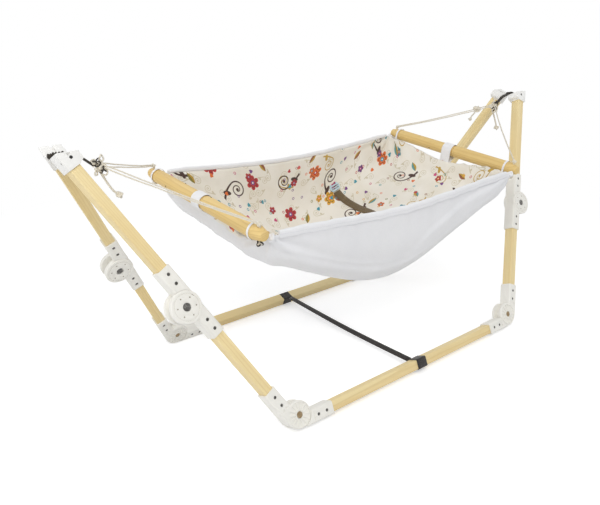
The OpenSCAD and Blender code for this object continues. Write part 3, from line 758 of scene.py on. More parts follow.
class Finishes:
    """Every finish of the cradle and its stand, made once."""

    def __init__(self) -> None:
        """Builds the shared groups and all the materials."""
        groups = Groups()
        self.stand_wood = WoodFinish("stand_pine", linear(243, 224, 172), linear(237, 213, 155),
                                     linear(214, 181, 118)).build(groups)
        self.bar_wood = WoodFinish("bar_pine", linear(234, 204, 136), linear(226, 193, 121),
                                   linear(196, 158, 88)).build(groups)
        self.moulded = MouldedFinish("moulded_nylon", linear(244, 242, 235), linear(210, 205, 193)).build(groups)
        self.cap = MouldedFinish("cap_nylon", linear(247, 246, 243), linear(216, 213, 205), 0.4).build(groups)
        # Darker, brownish nylon for the knee discs' sunk dots and ring groove: painted shade in those recesses, tinted
        # like grime.
        self.soiled = MouldedFinish("soiled_nylon", linear(162, 152, 132), linear(112, 104, 88)).build(groups)
        # Black nylon for the caps' plugs, and for their end slots, where it is painted shade.
        self.plug = MouldedFinish("black_nylon", linear(22, 21, 20), linear(48, 46, 44)).build(groups)
        self.buckle = MouldedFinish("buckle_acetal", linear(196, 219, 229), linear(150, 178, 190), 0.25, 900.0,
                                    0.2).build(groups)
        self.stitching = MouldedFinish("sewing_thread", linear(224, 224, 230), linear(196, 197, 204), 0.7, 3000.0,
                                       0.2, 0.00006).build(groups)
        self.steel = SteelFinish("zinc_steel", linear(88, 86, 83), linear(172, 170, 166)).build(groups)
        # A darker copy of the plated steel: painted shade, used on the rims round the knee bolts' heads and on the bar
        # pins.
        self.shadowed_steel = SteelFinish("dark_steel", linear(58, 56, 54), linear(120, 118, 114)).build(groups)
        self.brass = SteelFinish("rivet_brass", linear(142, 122, 92), linear(196, 180, 150)).build(groups)
        self.outer_cloth = ClothFinish("outer_cotton", linear(242, 242, 244), linear(230, 231, 235)).build(groups)
        self.hem_cloth = ClothFinish("hem_cotton", linear(245, 245, 247), linear(233, 234, 238)).build(groups)
        self.printed = PrintedFinish(
            "printed_cotton", linear(244, 240, 231), linear(237, 231, 218), linear(215, 206, 183),
            linear(66, 38, 30), linear(192, 156, 58),
            (linear(226, 112, 44), linear(196, 62, 118), linear(186, 44, 50), linear(62, 150, 168),
             linear(222, 166, 50), linear(118, 70, 134)),
            (linear(140, 132, 60), linear(96, 160, 160), linear(150, 84, 52))).build(groups)
        self.belt = WebbingFinish("belt_webbing", linear(104, 86, 58), linear(142, 124, 88)).build(groups)
        self.strap = WebbingFinish("strap_webbing", linear(27, 21, 17), linear(58, 49, 42)).build(groups)
        self.rope = CordFinish("cream_rope", linear(246, 241, 229), linear(214, 204, 182), 0.0, 0.0016,
                               0.0003).build(groups)
        self.dark_cord = CordFinish("dark_braid", linear(60, 52, 42), linear(12, 11, 10), 4.0, 0.0085,
                                    0.0006).build(groups)


# ---- Meshes ----


def link(item: Item) -> Item:
    """Links an object into the scene. Returns it."""
    bpy.context.scene.collection.objects.link(item)
    return item


def make_mesh(name: str, points: Sequence[Sequence[float]], faces: Sequence[Sequence[int]],
              material: Material, flat: Rows | None = None) -> Item:
    """Makes a mesh object at the origin.

    Args:
        name: The piece's name.
        points: Vertex places, one row each.
        faces: Vertex numbers of each face.
        material: Its finish.
        flat: UV of each vertex, in metres, if the finish follows the cloth.

    Returns:
        The new object, linked and smooth.
    """
    mesh = bpy.data.meshes.new(name)
    mesh.from_pydata([tuple(p) for p in points], [], [tuple(f) for f in faces])
    if flat is not None:
        layer = mesh.uv_layers.new(name="cloth")
        index = np.empty(len(mesh.loops), dtype=np.int32)
        mesh.loops.foreach_get("vertex_index", index)
        layer.data.foreach_set("uv", flat[index].astype(np.float32).ravel())
    mesh.validate()
    mesh.shade_smooth()
    mesh.materials.append(material)
    return link(bpy.data.objects.new(name, mesh))


def from_shape(name: str, shape: bmesh.types.BMesh, *materials: Material) -> Item:
    """Turns an edited shape into a linked object.

    Args:
        name: The object's name.
        shape: The shape; it's freed.
        materials: Its finishes.

    Returns:
        The object.
    """
    mesh = bpy.data.meshes.new(name)
    shape.to_mesh(mesh)
    shape.free()
    for material in materials:
        mesh.materials.append(material)
    return link(bpy.data.objects.new(name, mesh))


def turn_outwards(item: Item, merge: float = 1e-6) -> Item:
    """Merges doubles and makes the faces point outwards.

    Args:
        item: A closed mesh object.
        merge: Distance under which points are merged.

    Returns:
        The same object.
    """
    shape = bmesh.new()
    shape.from_mesh(item.data)
    bmesh.ops.remove_doubles(shape, verts=shape.verts, dist=merge)
    bmesh.ops.recalc_face_normals(shape, faces=shape.faces)
    shape.to_mesh(item.data)
    shape.free()
    return item


def settle(item: Item) -> Item:
    """Turns a piece with modifiers into a plain mesh and removes them. Returns it."""
    scene = bpy.context.evaluated_depsgraph_get()
    scene.update()
    mesh = bpy.data.meshes.new_from_object(item.evaluated_get(scene), preserve_all_data_layers=True, depsgraph=scene)
    item.modifiers.clear()
    old = item.data
    item.data = mesh
    mesh.name = item.name
    if not old.users:
        bpy.data.meshes.remove(old)
    return item


def ease_edges(item: Item, width: float, angle: float = 32.0) -> Item:
    """Rounds the sharp edges of a piece and shades it smooth; its mesh is a new one afterwards.

    Args:
        item: A closed mesh object.
        width: Width of the rounding.
        angle: Least angle between faces that is rounded, in degrees.

    Returns:
        The same object.
    """
    bevel = item.modifiers.new("Eased edges", "BEVEL")
    bevel.width, bevel.segments = width, 2
    bevel.limit_method, bevel.angle_limit = "ANGLE", math.radians(angle)
    settle(item)
    item.data.shade_smooth()
    item.data.set_sharp_from_angle(angle=math.radians(angle))
    return item


def soften(item: Item) -> Item:
    """Rounds a piece of cloth by subdividing it once. Returns it."""
    smooth = item.modifiers.new("Soft folds", "SUBSURF")
    smooth.levels = smooth.render_levels = 1
    return settle(item)


def join(name: str, items: Sequence[Item]) -> Item:
    """Joins mesh objects of one body into one piece.

    Args:
        name: The joined piece's name.
        items: The objects; they're removed.

    Returns:
        The joined object.
    """
    shape = bmesh.new()
    materials: list[Material] = []
    for item in items:
        start = len(shape.faces)
        shape.from_mesh(item.data)
        shape.faces.ensure_lookup_table()
        material = item.data.materials[0]
        if material not in materials:
            materials.append(material)
        for number in range(start, len(shape.faces)):
            shape.faces[number].material_index = materials.index(material)
    joined = from_shape(name, shape, *materials)
    for item in items:
        bpy.data.objects.remove(item)
    return joined


def move_points(item: Item, move: Callable[[Rows], Rows]) -> None:
    """Moves the vertices of a piece.

    Args:
        item: The piece.
        move: Turns rows of places into rows of new places.
    """
    places = np.empty(len(item.data.vertices) * 3)
    item.data.vertices.foreach_get("co", places)
    item.data.vertices.foreach_set("co", move(places.reshape(-1, 3)).ravel())


def spline(points: Sequence[Sequence[float]], steps: int, closed: bool = False) -> Rows:
    """A smooth curve through the points.

    Args:
        points: The route.
        steps: Pieces between two points.
        closed: Whether the route returns to its start.

    Returns:
        The places along the curve, one row each.
    """
    given = np.array(points, dtype=float)
    count = len(given)
    found = []
    for i in range(count if closed else count - 1):
        near = [k % count if closed else min(max(k, 0), count - 1) for k in range(i - 1, i + 3)]
        a, b, c, d = given[near]
        for step in range(steps):
            t = step / steps
            found.append(0.5 * (2 * b + (c - a) * t + (2 * a - 5 * b + 4 * c - d) * t * t
                                + (3 * b - a - 3 * c + d) * t ** 3))
    return np.array(found if closed else [*found, given[-1]])


def travelled(points: Rows) -> Rows:
    """Distance along a line at each of its points."""
    return np.concatenate([[0], np.cumsum(np.linalg.norm(np.diff(points, axis=0), axis=1))])


def unit(rows: Rows) -> Rows:
    """Each row as a direction of length 1."""
    return rows / np.linalg.norm(rows, axis=1)[:, None]


def headings(route: Rows, closed: bool) -> Rows:
    """The direction of a route at each of its points.

    Args:
        route: Places, one row each.
        closed: Whether the last point joins the first.

    Returns:
        Unit directions, one row each.
    """
    ahead = np.roll(route, -1, axis=0) - np.roll(route, 1, axis=0)
    if not closed:
        ahead[0], ahead[-1] = route[1] - route[0], route[-1] - route[-2]
    return unit(ahead)


def circle(sides: int) -> list[tuple[float, float]]:
    """Cosine and sine of each corner of a regular polygon."""
    return [(math.cos(math.tau * k / sides), math.sin(math.tau * k / sides)) for k in range(sides)]


def tube_faces(rings: int, sides: int, closed: bool = False) -> list[tuple[int, ...]]:
    """Faces of a tube whose vertices are numbered ring by ring.

    Args:
        rings: Number of rings.
        sides: Vertices of a ring.
        closed: Whether the last ring joins the first; otherwise both ends get a face.

    Returns:
        The vertex numbers of each face.
    """
    faces = [(i * sides + k, i * sides + (k + 1) % sides, (i + 1) % rings * sides + (k + 1) % sides,
              (i + 1) % rings * sides + k) for i in range(rings if closed else rings - 1) for k in range(sides)]
    if not closed:
        faces += [tuple(range(sides)), tuple((rings - 1) * sides + k for k in reversed(range(sides)))]
    return faces


def line_object(name: str, points: Rows, closed: bool = False) -> Item:
    """A mesh of edges through the points.

    Args:
        name: The object's name.
        points: Places, one row each.
        closed: Whether the last point joins the first.

    Returns:
        The linked object.
    """
    count = len(points)
    edges = [(i, (i + 1) % count) for i in range(count if closed else count - 1)]
    mesh = bpy.data.meshes.new(name)
    mesh.from_pydata([tuple(p) for p in points], edges, [])
    return link(bpy.data.objects.new(name, mesh))


TAPE_SECTION = ((-1, 0.2), (-0.96, 0), (-0.3, 0.06), (0.3, 0.06), (0.96, 0), (1, 0.2), (1, 0.8), (0.96, 1),
                (0.3, 0.94), (-0.3, 0.94), (-0.96, 1), (-1, 0.8))


def tape(name: str, route: Rows, across: Rows, width: float, thick: float,
         material: Material, closed: bool = False) -> Item:
    """A flat tape with rolled edges along a route.

    Args:
        name: The piece's name.
        route: Places on its lower face, one row each.
        across: Unit direction across the tape at each place.
        width: Width of the tape.
        thick: Thickness, on the side of the cross product of across and the heading.
        material: Its finish.
        closed: Whether the route returns to its start.

    Returns:
        The tape.
    """
    out = unit(np.cross(across, headings(route, closed)))
    travel = travelled(route)
    points, flat = [], []
    for i, place in enumerate(route):
        for side, lift in TAPE_SECTION:
            points.append(place + across[i] * side * width / 2 + out[i] * lift * thick)
            flat.append((travel[i], side * width / 2 + lift * thick))
    faces = tube_faces(len(route), len(TAPE_SECTION), closed)
    return turn_outwards(make_mesh(name, points, faces, material, np.array(flat)))


def put_in_place(item: Item, body: str, *nodes: str, slot: str = "") -> Item:
    """Gives a finished piece to its body.

    Args:
        item: The piece.
        body: The body that it moves with.
        nodes: The CAD nodes that it takes the place of.
        slot: The record's slot of its look, for a piece that no CAD node stands for; not used.

    Returns:
        The same piece.
    """
    if nodes:
        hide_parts(*nodes)
    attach(item, body)
    LOG.info("%s rides on %s with %d faces", item.name, body, len(item.data.polygons))
    return item


# ---- Geometry trees ----


class Tree(Graph):
    """Builds one Geometry Nodes tree and runs it on a piece."""

    KINDS = {float: "NodeSocketFloat", int: "NodeSocketInt", Material: "NodeSocketMaterial", Item: "NodeSocketObject"}

    def __init__(self, name: str, inputs: dict[str, type]) -> None:
        """Starts the tree.

        Args:
            name: The tree's name.
            inputs: Names of the inputs beside the geometry, with their Python types.
        """
        super().__init__(bpy.data.node_groups.new(name, "GeometryNodeTree"))
        face = self.tree.interface
        face.new_socket("Geometry", in_out="INPUT", socket_type="NodeSocketGeometry")
        for key, kind in inputs.items():
            face.new_socket(key, in_out="INPUT", socket_type=self.KINDS[kind])
        face.new_socket("Geometry", in_out="OUTPUT", socket_type="NodeSocketGeometry")
        source = self.add("NodeGroupInput")
        self.given = {key: source[key] for key in ("Geometry", *inputs)}

    def keep(self, geometry: Value, name: str, value: Value) -> Value:
        """Stores a number on each point of a geometry, under a name. Returns the geometry."""
        return self.add("GeometryNodeStoreNamedAttribute", {"Geometry": geometry, "Name": name, "Value": value},
                        data_type="FLOAT", domain="POINT")[0]

    def copies(self, points: Value, turn: Value) -> "Tree":
        """Ends the tree in copies of the input Piece, realised and given the input Material.

        Args:
            points: Where they go.
            turn: How each is turned.

        Returns:
            The tree.
        """
        piece = self.add("GeometryNodeObjectInfo", {"Object": self.given["Piece"]}, transform_space="ORIGINAL")
        return self.end(self.add("GeometryNodeInstanceOnPoints", {
            "Points": points, "Instance": piece["Geometry"], "Rotation": turn})[0])

    def end(self, geometry: Value) -> "Tree":
        """Ends the tree in Realize Instances and Set Material. Returns it."""
        real = self.add("GeometryNodeRealizeInstances", {0: geometry})[0]
        dressed = self.add("GeometryNodeSetMaterial", {"Geometry": real, "Material": self.given["Material"]})[0]
        self.add("NodeGroupOutput", {0: dressed})
        return self

    def run(self, item: Item, **values: object) -> Item:
        """Runs the tree on a piece and leaves a plain mesh.

        Args:
            item: The object whose mesh feeds the tree.
            values: Input names to values.

        Returns:
            The same object.
        """
        modifier = item.modifiers.new(self.tree.name, "NODES")
        modifier.node_group = self.tree
        for socket in self.tree.interface.items_tree:
            if socket.in_out == "INPUT" and socket.name in values:
                modifier[socket.identifier] = values[socket.name]
        return settle(item)


class Trees:
    """The geometry trees that make cords and rows of small pieces."""

    def __init__(self) -> None:
        """Builds the trees."""
        self.cord = self._cord()
        self.row = self._row()
        self.scatter = self._scatter()

    def _cord(self) -> Tree:
        """A cord along a line: lobed, twisted by its lay, and with the attributes that its finish reads."""
        tree = Tree("Laid cord", {"Radius": float, "Lay": float, "Lobes": int, "Depth": float, "Step": float,
                                  "Sides": int, "Material": Material})
        given = tree.given
        line = tree.add("GeometryNodeMeshToCurve", {0: given["Geometry"]})[0]
        even = tree.add("GeometryNodeResampleCurve", {"Curve": line, "Length": given["Step"]}, mode="LENGTH")[0]
        length = tree.add("GeometryNodeSplineParameter")["Length"]
        twist = length / given["Lay"] * math.tau
        tilted = tree.add("GeometryNodeSetCurveTilt", {"Curve": even, "Tilt": twist})[0]
        marked = tree.keep(tilted, "along", length)
        ring = tree.add("GeometryNodeCurvePrimitiveCircle", {"Resolution": given["Sides"], "Radius": 1.0})[0]
        place = tree.add("GeometryNodeInputPosition")[0]
        parts = tree.split(place)
        angle = parts[1].arctan2(parts[0])
        swell = abs((angle * given["Lobes"] * 0.5).cosine()) ** 0.8
        reach = (1.0 - (1.0 - swell) * given["Depth"]) * given["Radius"]
        moved = tree.add("ShaderNodeVectorMath", {0: place, "Scale": reach}, operation="SCALE")[0]
        shaped = tree.add("GeometryNodeSetPosition", {"Geometry": ring, "Position": moved})[0]
        profile = tree.keep(tree.keep(shaped, "round_sine", angle.sine()), "round_cosine", angle.cosine())
        tube = tree.add("GeometryNodeCurveToMesh", {"Curve": marked, "Profile Curve": profile, "Fill Caps": True})[0]
        return tree.end(tree.add("GeometryNodeSetShadeSmooth", {0: tube})[0])

    def _row(self) -> Tree:
        """Copies of a small piece, spaced evenly along a line and lying along it."""
        tree = Tree("Row along a line", {"Spacing": float, "Piece": Item, "Material": Material})
        line = tree.add("GeometryNodeMeshToCurve", {0: tree.given["Geometry"]})[0]
        even = tree.add("GeometryNodeCurveToPoints", {"Curve": line, "Length": tree.given["Spacing"]}, mode="LENGTH")
        return tree.copies(even[0], tree.add("FunctionNodeAlignEulerToVector", {"Vector": even["Tangent"]},
                                             axis="X")[0])

    def _scatter(self) -> Tree:
        """Copies of a small piece at given points, aimed along the attribute 'aim' and turned by 'spin'."""
        tree = Tree("Pieces at points", {"Piece": Item, "Material": Material})
        aim, spin = (tree.add("GeometryNodeInputNamedAttribute", {"Name": name}, data_type=kind)[0]
                     for name, kind in (("aim", "FLOAT_VECTOR"), ("spin", "FLOAT")))
        turn = tree.add("FunctionNodeAlignEulerToVector", {"Vector": aim}, axis="Z")[0]
        about = tree.add("ShaderNodeCombineXYZ", {2: spin})[0]
        both = tree.add("FunctionNodeRotateEuler", {"Rotation": turn, "Rotate By": about}, space="LOCAL")[0]
        return tree.copies(tree.add("GeometryNodeMeshToPoints", {0: tree.given["Geometry"]})[0], both)


# ---- Places on the stand ----


def side_matrix(side: Side) -> Matrix:
    """Place of a side plane: X along the rail, Y up the plane, Z out of it."""
    mirror = Matrix.Diagonal((1, -1, 1, 1)) if side is Side.BACK else Matrix.Identity(4)
    lift = Matrix.Translation((0, -SIZES.half_spread, SIZES.pivot_height))
    return mirror @ lift @ Matrix.Rotation(math.pi / 2 - SIZES.side_lean, 4, "X")


def corner_matrix(side: Side, end: End) -> Matrix:
    """Place of a corner pivot, with X towards the middle of the rail."""
    mirror = Matrix.Diagonal((-1, 1, 1, 1)) if end is End.RIGHT else Matrix.Identity(4)
    return side_matrix(side) @ mirror @ Matrix.Translation((-SIZES.half_span, 0, 0))


def leg_matrix(side: Side, end: End) -> Matrix:
    """Place of a leg, with X up along it from the corner pivot and Y outwards."""
    return corner_matrix(side, end) @ Matrix.Rotation(math.pi / 2 + SIZES.leg_splay, 4, "Z")


@dataclass
class Stand:
    """The folding stand: two side frames with moulded corners and knees, and the strap between their rails."""

    frame: dict
    finishes: Finishes
    trees: Trees
    wood_ease: float = 0.0007
    moulding_ease: float = 0.0006
    steel_ease: float = 0.0005
    plug_ease: float = 0.0003
    rail_drop: float = 0.0177
    strap_wrap: tuple[float, float] = (0.0123, 0.0143)
    strap_corner: float = 0.0028
    strap_x: tuple[float, float] = (-0.008, 0.026)
    strap_t: float = 0.0016
    strap_sag: float = 0.005
    band_x: tuple[float, float] = (-0.002, 0.018)
    band_width: float = 0.0135
    dimple_ring: float = 0.021
    dimple_r: float = 0.0019
    groove_ring: float = 0.0282
    groove_half: float = 0.0009
    sunk: tuple[float, float] = (0.0005, 0.0021)
    rivet_r: float = 0.0034
    knee_head_r: float = 0.0068
    screw_head: Item = field(init=False)

    def __post_init__(self) -> None:
        """Makes the screw head that all the screws share."""
        self.screw_head = self._screw_head()

    def build(self) -> None:
        """Makes every piece of the stand."""
        for side in Side:
            body = "stand" if side is Side.FRONT else "back_frame"
            self._wood(f"{side.word}_rail", body, corner_matrix(side, End.LEFT))
            near = self._near_screws()
            places = [self._screw_places(corner_matrix(side, end), near, -1) for end in End]
            self._screws(f"{side.word}_rail_screws", body, sum(places, []))
            for end in End:
                self._half_frame(side, end, body)
        self._strap()
        bpy.data.objects.remove(self.screw_head)

    def _half_frame(self, side: Side, end: End, frame_body: str) -> None:
        """Makes one leg and the corner that it folds on.

        Args:
            side, end: Which of the four.
            frame_body: The body of its rail.
        """
        name = f"{side.word}_{end.word}"
        lower, upper = f"{name}_lower_leg", f"{name}_upper_leg"
        leg = leg_matrix(side, end)
        moulded = self.finishes.moulded
        self._moulding(f"{name}_rail_bracket", frame_body, moulded)
        self._wood(f"{name}_lower_bar", lower, leg)
        self._wood(f"{name}_upper_bar", upper, leg)
        self._moulding(f"{name}_corner_bracket", lower, moulded)
        self._soil(self._moulding(f"{name}_lower_knee_bracket", lower, moulded), leg)
        self._moulding(f"{name}_upper_knee_bracket", upper, moulded)
        self._moulding(f"{name}_cap", upper, self.finishes.cap)
        self._cap_marks(name, upper, leg)
        self._bolts(f"{name}_pivot_bolts", lower, leg)
        near = self._near_screws()
        both = near + [SIZES.lower_leg - x for x in near]
        self._screws(f"{name}_lower_screws", lower, self._screw_places(leg, both))
        self._screws(f"{name}_upper_screws", upper, self._screw_places(leg, [SIZES.lower_leg + x for x in near]))

    def _copy(self, node: str, kind: str, ease: float, *finishes: Material) -> Item:
        """A merged copy of a CAD node's mesh, with its flat faces whole again and its edges eased.

        Args:
            node: The node.
            kind: Word that ends the copy's name.
            ease: Width of the rounding.
            finishes: Its materials.

        Returns:
            The copy.
        """
        shape = bmesh.new()
        shape.from_mesh(self.frame["nodes"][node].data)
        bmesh.ops.remove_doubles(shape, verts=shape.verts, dist=1e-6)
        bmesh.ops.dissolve_limit(shape, angle_limit=math.radians(0.4), verts=shape.verts, edges=shape.edges)
        return ease_edges(from_shape(f"{node}_{kind}", shape, *finishes), ease)

    def _wood(self, node: str, body: str, place: Matrix) -> None:
        """A planed bar whose grain runs along it."""
        item = self._copy(node, "planed", self.wood_ease, self.finishes.stand_wood)
        add_grain(item, place, node)
        put_in_place(item, body, node)

    def _moulding(self, node: str, body: str, finish: Material) -> Item:
        """A moulded piece with eased edges."""
        return put_in_place(self._copy(node, "moulded", self.moulding_ease, finish), body, node)

    @staticmethod
    def _from_knee(place: Vector) -> float:
        """Distance of a place on a leg from the knee's pivot line."""
        return math.hypot(place.x - SIZES.lower_leg, place.y - SIZES.knee_line)

    def _soil(self, item: Item, leg: Matrix) -> None:
        """Gives the sunk dots and the ring groove of a knee disc a darker, brownish finish: painted shade in those
        recesses.
        """
        item.data.materials.append(self.finishes.soiled)
        cheek = SIZES.sleeve_width / 2 + SIZES.knee_proud
        back = leg.inverted()
        for face in item.data.polygons:
            place = back @ face.center
            out = self._from_knee(place)
            marked = abs(out - self.dimple_ring) < self.dimple_r or abs(out - self.groove_ring) < self.groove_half
            # Faces sunk below the cheek in the dots and the groove take the painted shade.
            if marked and self.sunk[0] < cheek - abs(place.z) < self.sunk[1]:
                face.material_index = 1

    def _cap_marks(self, name: str, body: str, leg: Matrix) -> None:
        """The black plug in a cap's outer face, and the short slot in its end drawn as a black piece: painted shade in
        the slot.
        """
        half = SIZES.sleeve_width / 2
        way = max((1, -1), key=lambda w: abs((leg @ Vector((SIZES.leg_reach, 0, w * half))).y))
        plug = Matrix.Translation((SIZES.leg_reach + 0.019, 0.0122, way * (half - 0.0006)))
        slot = Matrix.Translation((SIZES.leg_reach + 0.0188, SIZES.corner_gap + SIZES.sleeve_depth - 0.0006,
                                   way * 0.0115)) @ Matrix.Rotation(math.pi / 2, 4, "X")
        shape = bmesh.new()
        # The first piece is the plug; the second, flattened, is the slot's painted shade.
        for sides, radius, depth, place in ((28, 0.0034, 0.0019, leg @ plug),
                                            (20, 0.0026, 0.0016, leg @ slot @ Matrix.Diagonal((1, 0.42, 1, 1)))):
            bmesh.ops.create_cone(shape, cap_ends=True, segments=sides, radius1=radius, radius2=radius, depth=depth,
                                  matrix=place)
        bmesh.ops.recalc_face_normals(shape, faces=shape.faces)
        item = ease_edges(from_shape(f"{name}_cap_marks", shape, self.finishes.plug), self.plug_ease)
        put_in_place(item, body, slot="dark_steel")

    def _bolts(self, node: str, body: str, leg: Matrix) -> None:
        """The pivot bolts of a leg: covered with a moulded cap and a brass rivet at the corner, plated at the knee,
        where the head's outer rim takes the darker steel as painted shade.
        """
        steel, cover, rivet, shaded_rim = 0, 1, 2, 3
        item = self._copy(node, "heads", self.steel_ease, self.finishes.steel, self.finishes.moulded,
                          self.finishes.brass, self.finishes.shadowed_steel)
        back = leg.inverted()
        for face in item.data.polygons:
            place = back @ face.center
            if place.x < SIZES.lower_leg / 2:
                face.material_index = rivet if math.hypot(place.x, place.y) < self.rivet_r else cover
            else:
                # At the knee, faces outside the head's radius take the darker steel: painted shade round the head.
                face.material_index = shaded_rim if self._from_knee(place) > self.knee_head_r else steel
        put_in_place(item, body, node)

    @staticmethod
    def _near_screws() -> list[float]:
        """Distances of a sleeve's two screws from its pivot."""
        return [SIZES.first_screw, SIZES.first_screw + SIZES.screw_pitch]

    @staticmethod
    def _screw_places(bar: Matrix, along: Sequence[float], side: int = 1) -> list[tuple[Vector, Vector]]:
        """Screws on both faces of a bar.

        Args:
            bar: The bar's own place.
            along: Their distances along it.
            side: 1 or -1, the side of its pivot line that the sleeve is on.

        Returns:
            The place and the outward direction of each.
        """
        line = side * (SIZES.corner_gap + SIZES.sleeve_depth / 2)
        seat = SIZES.sleeve_width / 2 - SIZES.screw_sunk
        return [(bar @ Vector((x, line, way * seat)), bar.to_3x3() @ Vector((0, 0, way)))
                for x in along for way in (-1, 1)]

    def _screws(self, node: str, body: str, places: Sequence[tuple[Vector, Vector]]) -> None:
        """Screws with crossed heads at the given places, over the whole shanks of the CAD node."""
        mesh = bpy.data.meshes.new(f"{node}_heads")
        mesh.from_pydata([tuple(place) for place, _ in places], [], [])
        aim = mesh.attributes.new("aim", "FLOAT_VECTOR", "POINT")
        aim.data.foreach_set("vector", [c for _, way in places for c in way])
        spin = mesh.attributes.new("spin", "FLOAT", "POINT")
        draws = np.random.default_rng(len(node) * 31 + sum(map(ord, node)))
        spin.data.foreach_set("value", draws.uniform(0, math.tau, len(places)))
        item = link(bpy.data.objects.new(f"{node}_heads", mesh))
        self.trees.scatter.run(item, Piece=self.screw_head, Material=self.finishes.steel)
        put_in_place(item, body, node)

    @staticmethod
    def _screw_head() -> Item:
        """A pan head with a cross recess and its shank, with its seat at Z 0."""
        radius, height, sides = SIZES.screw_head_r, 0.0014, 24
        arm, slot, shank, length = radius * 0.56, radius * 0.15, 0.0018, 0.0118
        rings = [(shank, -length), (shank, 0.0), (radius, 0.0), (radius, height * 0.45),
                 (radius * 0.93, height * 0.8), (radius * 0.8, height)]
        shape = bmesh.new()
        rows = [[shape.verts.new((r * c, r * s, z)) for c, s in circle(sides)] for r, z in rings]
        cross = []
        for k in range(sides):
            angle = math.tau * k / sides
            quarter = round(angle / (math.pi / 2))
            off = angle - quarter * math.pi / 2
            out, side = (arm if abs(off) <= 0.6 else slot), (math.copysign(slot, off) if abs(off) > 0.01 else 0.0)
            cross.append(Matrix.Rotation(quarter * math.pi / 2, 2) @ Vector((out, side)))
        rows.append([shape.verts.new((p.x, p.y, height)) for p in cross])
        rows.append([shape.verts.new((p.x * 0.7, p.y * 0.7, height * 0.1)) for p in cross])
        for low, high in zip(rows, rows[1:]):
            for k in range(sides):
                shape.faces.new((low[k], low[(k + 1) % sides], high[(k + 1) % sides], high[k]))
        shape.faces.new(rows[-1])
        shape.faces.new(list(reversed(rows[0])))
        bmesh.ops.remove_doubles(shape, verts=shape.verts, dist=1e-7)
        bmesh.ops.dissolve_degenerate(shape, edges=shape.edges, dist=1e-7)
        bmesh.ops.recalc_face_normals(shape, faces=shape.faces)
        return from_shape("screw_head", shape)

    def _rail_at(self, up: float, out: float) -> tuple[float, float]:
        """Y and Z of a place at the front rail, up its plane and out of it from its middle."""
        sine, cosine = math.sin(SIZES.side_lean), math.cos(SIZES.side_lean)
        y = -(SIZES.half_spread + self.rail_drop * sine) + up * sine - out * cosine
        return y, SIZES.pivot_height - self.rail_drop * cosine + up * cosine + out * sine

    def _strap(self) -> None:
        """The strap between the rails: a loop round each, and the band between them."""
        low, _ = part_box("spread_strap")
        d, n = self.strap_wrap
        for side, body in ((Side.FRONT, "stand"), (Side.BACK, "back_frame")):
            corners = [(-side.value * y, z) for y, z in (self._rail_at(*place) for place in (
                (-d, -n), (-d, n), (d, n), (d, -n)))]
            route = self._rounded(corners, self.strap_corner)
            middle, width = sum(self.strap_x) / 2, self.strap_x[1] - self.strap_x[0]
            loop = tape(f"strap_loop_{side.word}", np.column_stack([np.full(len(route), middle), route]),
                        np.tile((1.0, 0.0, 0.0), (len(route), 1)), width, self.strap_t, self.finishes.strap, True)
            put_in_place(loop, body, slot="black_webbing")
        start_y, start_z = self._rail_at(d, -n)
        band = self._band(start_y, start_z)
        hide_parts("spread_strap")
        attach(band, "stand")
        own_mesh(band)
        LOG.info("%s spans %.3f m of the %.3f m between the rails", band.name, -2 * start_y, -2 * low.y)

    def _band(self, start_y: float, start_z: float) -> Item:
        """The strap between the rails: the tape folded narrow, turned a little, pulled aslant and sagging.

        Args:
            start_y, start_z: Where it leaves the front rail's loop.

        Returns:
            The band.
        """
        t = np.linspace(-1, 1, 41)
        share = (t + 1) / 2
        lean = 0.55 + 0.25 * np.sin(share * 5.0)
        across = np.column_stack([np.cos(lean), np.zeros_like(lean), np.sin(lean)])
        sag = self.strap_sag * (1 - np.abs(t) ** 1.6)
        route = np.column_stack([self.band_x[0] + (self.band_x[1] - self.band_x[0]) * share, t * -start_y,
                                 start_z - 0.0024 - sag])
        return tape("strap_band", route, across, self.band_width, 2 * self.strap_t, self.finishes.strap)

    @staticmethod
    def _rounded(corners: Sequence[tuple[float, float]], radius: float) -> Rows:
        """An outline with rounded corners, in Y and Z."""
        found = []
        for i, corner in enumerate(corners):
            here, back, on = (np.array(c) for c in (corner, corners[i - 1], corners[(i + 1) % len(corners)]))
            a, b = (here + (other - here) / np.linalg.norm(other - here) * radius for other in (back, on))
            found += [(1 - t) ** 2 * a + 2 * t * (1 - t) * here + t * t * b for t in (k / 5 for k in range(6))]
        return np.array(found)


def add_grain(item: Item, place: Matrix, seed: str) -> None:
    """Gives each vertex its place in the bar, in metres with X along it, for the wood's grain.

    Args:
        item: The bar.
        place: The bar's own place, with X along it.
        seed: Word that sets which part of the log the bar is cut from.
    """
    count = len(item.data.vertices)
    points = np.empty(count * 3)
    item.data.vertices.foreach_get("co", points)
    back = np.array(place.inverted())
    local = points.reshape(-1, 3) @ back[:3, :3].T + back[:3, 3]
    draws = np.random.default_rng(sum(ord(c) * (i + 7) for i, c in enumerate(seed)))
    local += draws.uniform((-3.0, -0.012, -0.012), (3.0, 0.012, 0.012))
    grain = item.data.attributes.new("grain", "FLOAT_VECTOR", "POINT")
    grain.data.foreach_set("vector", local.astype(np.float32).ravel())


# ---- The bed ----


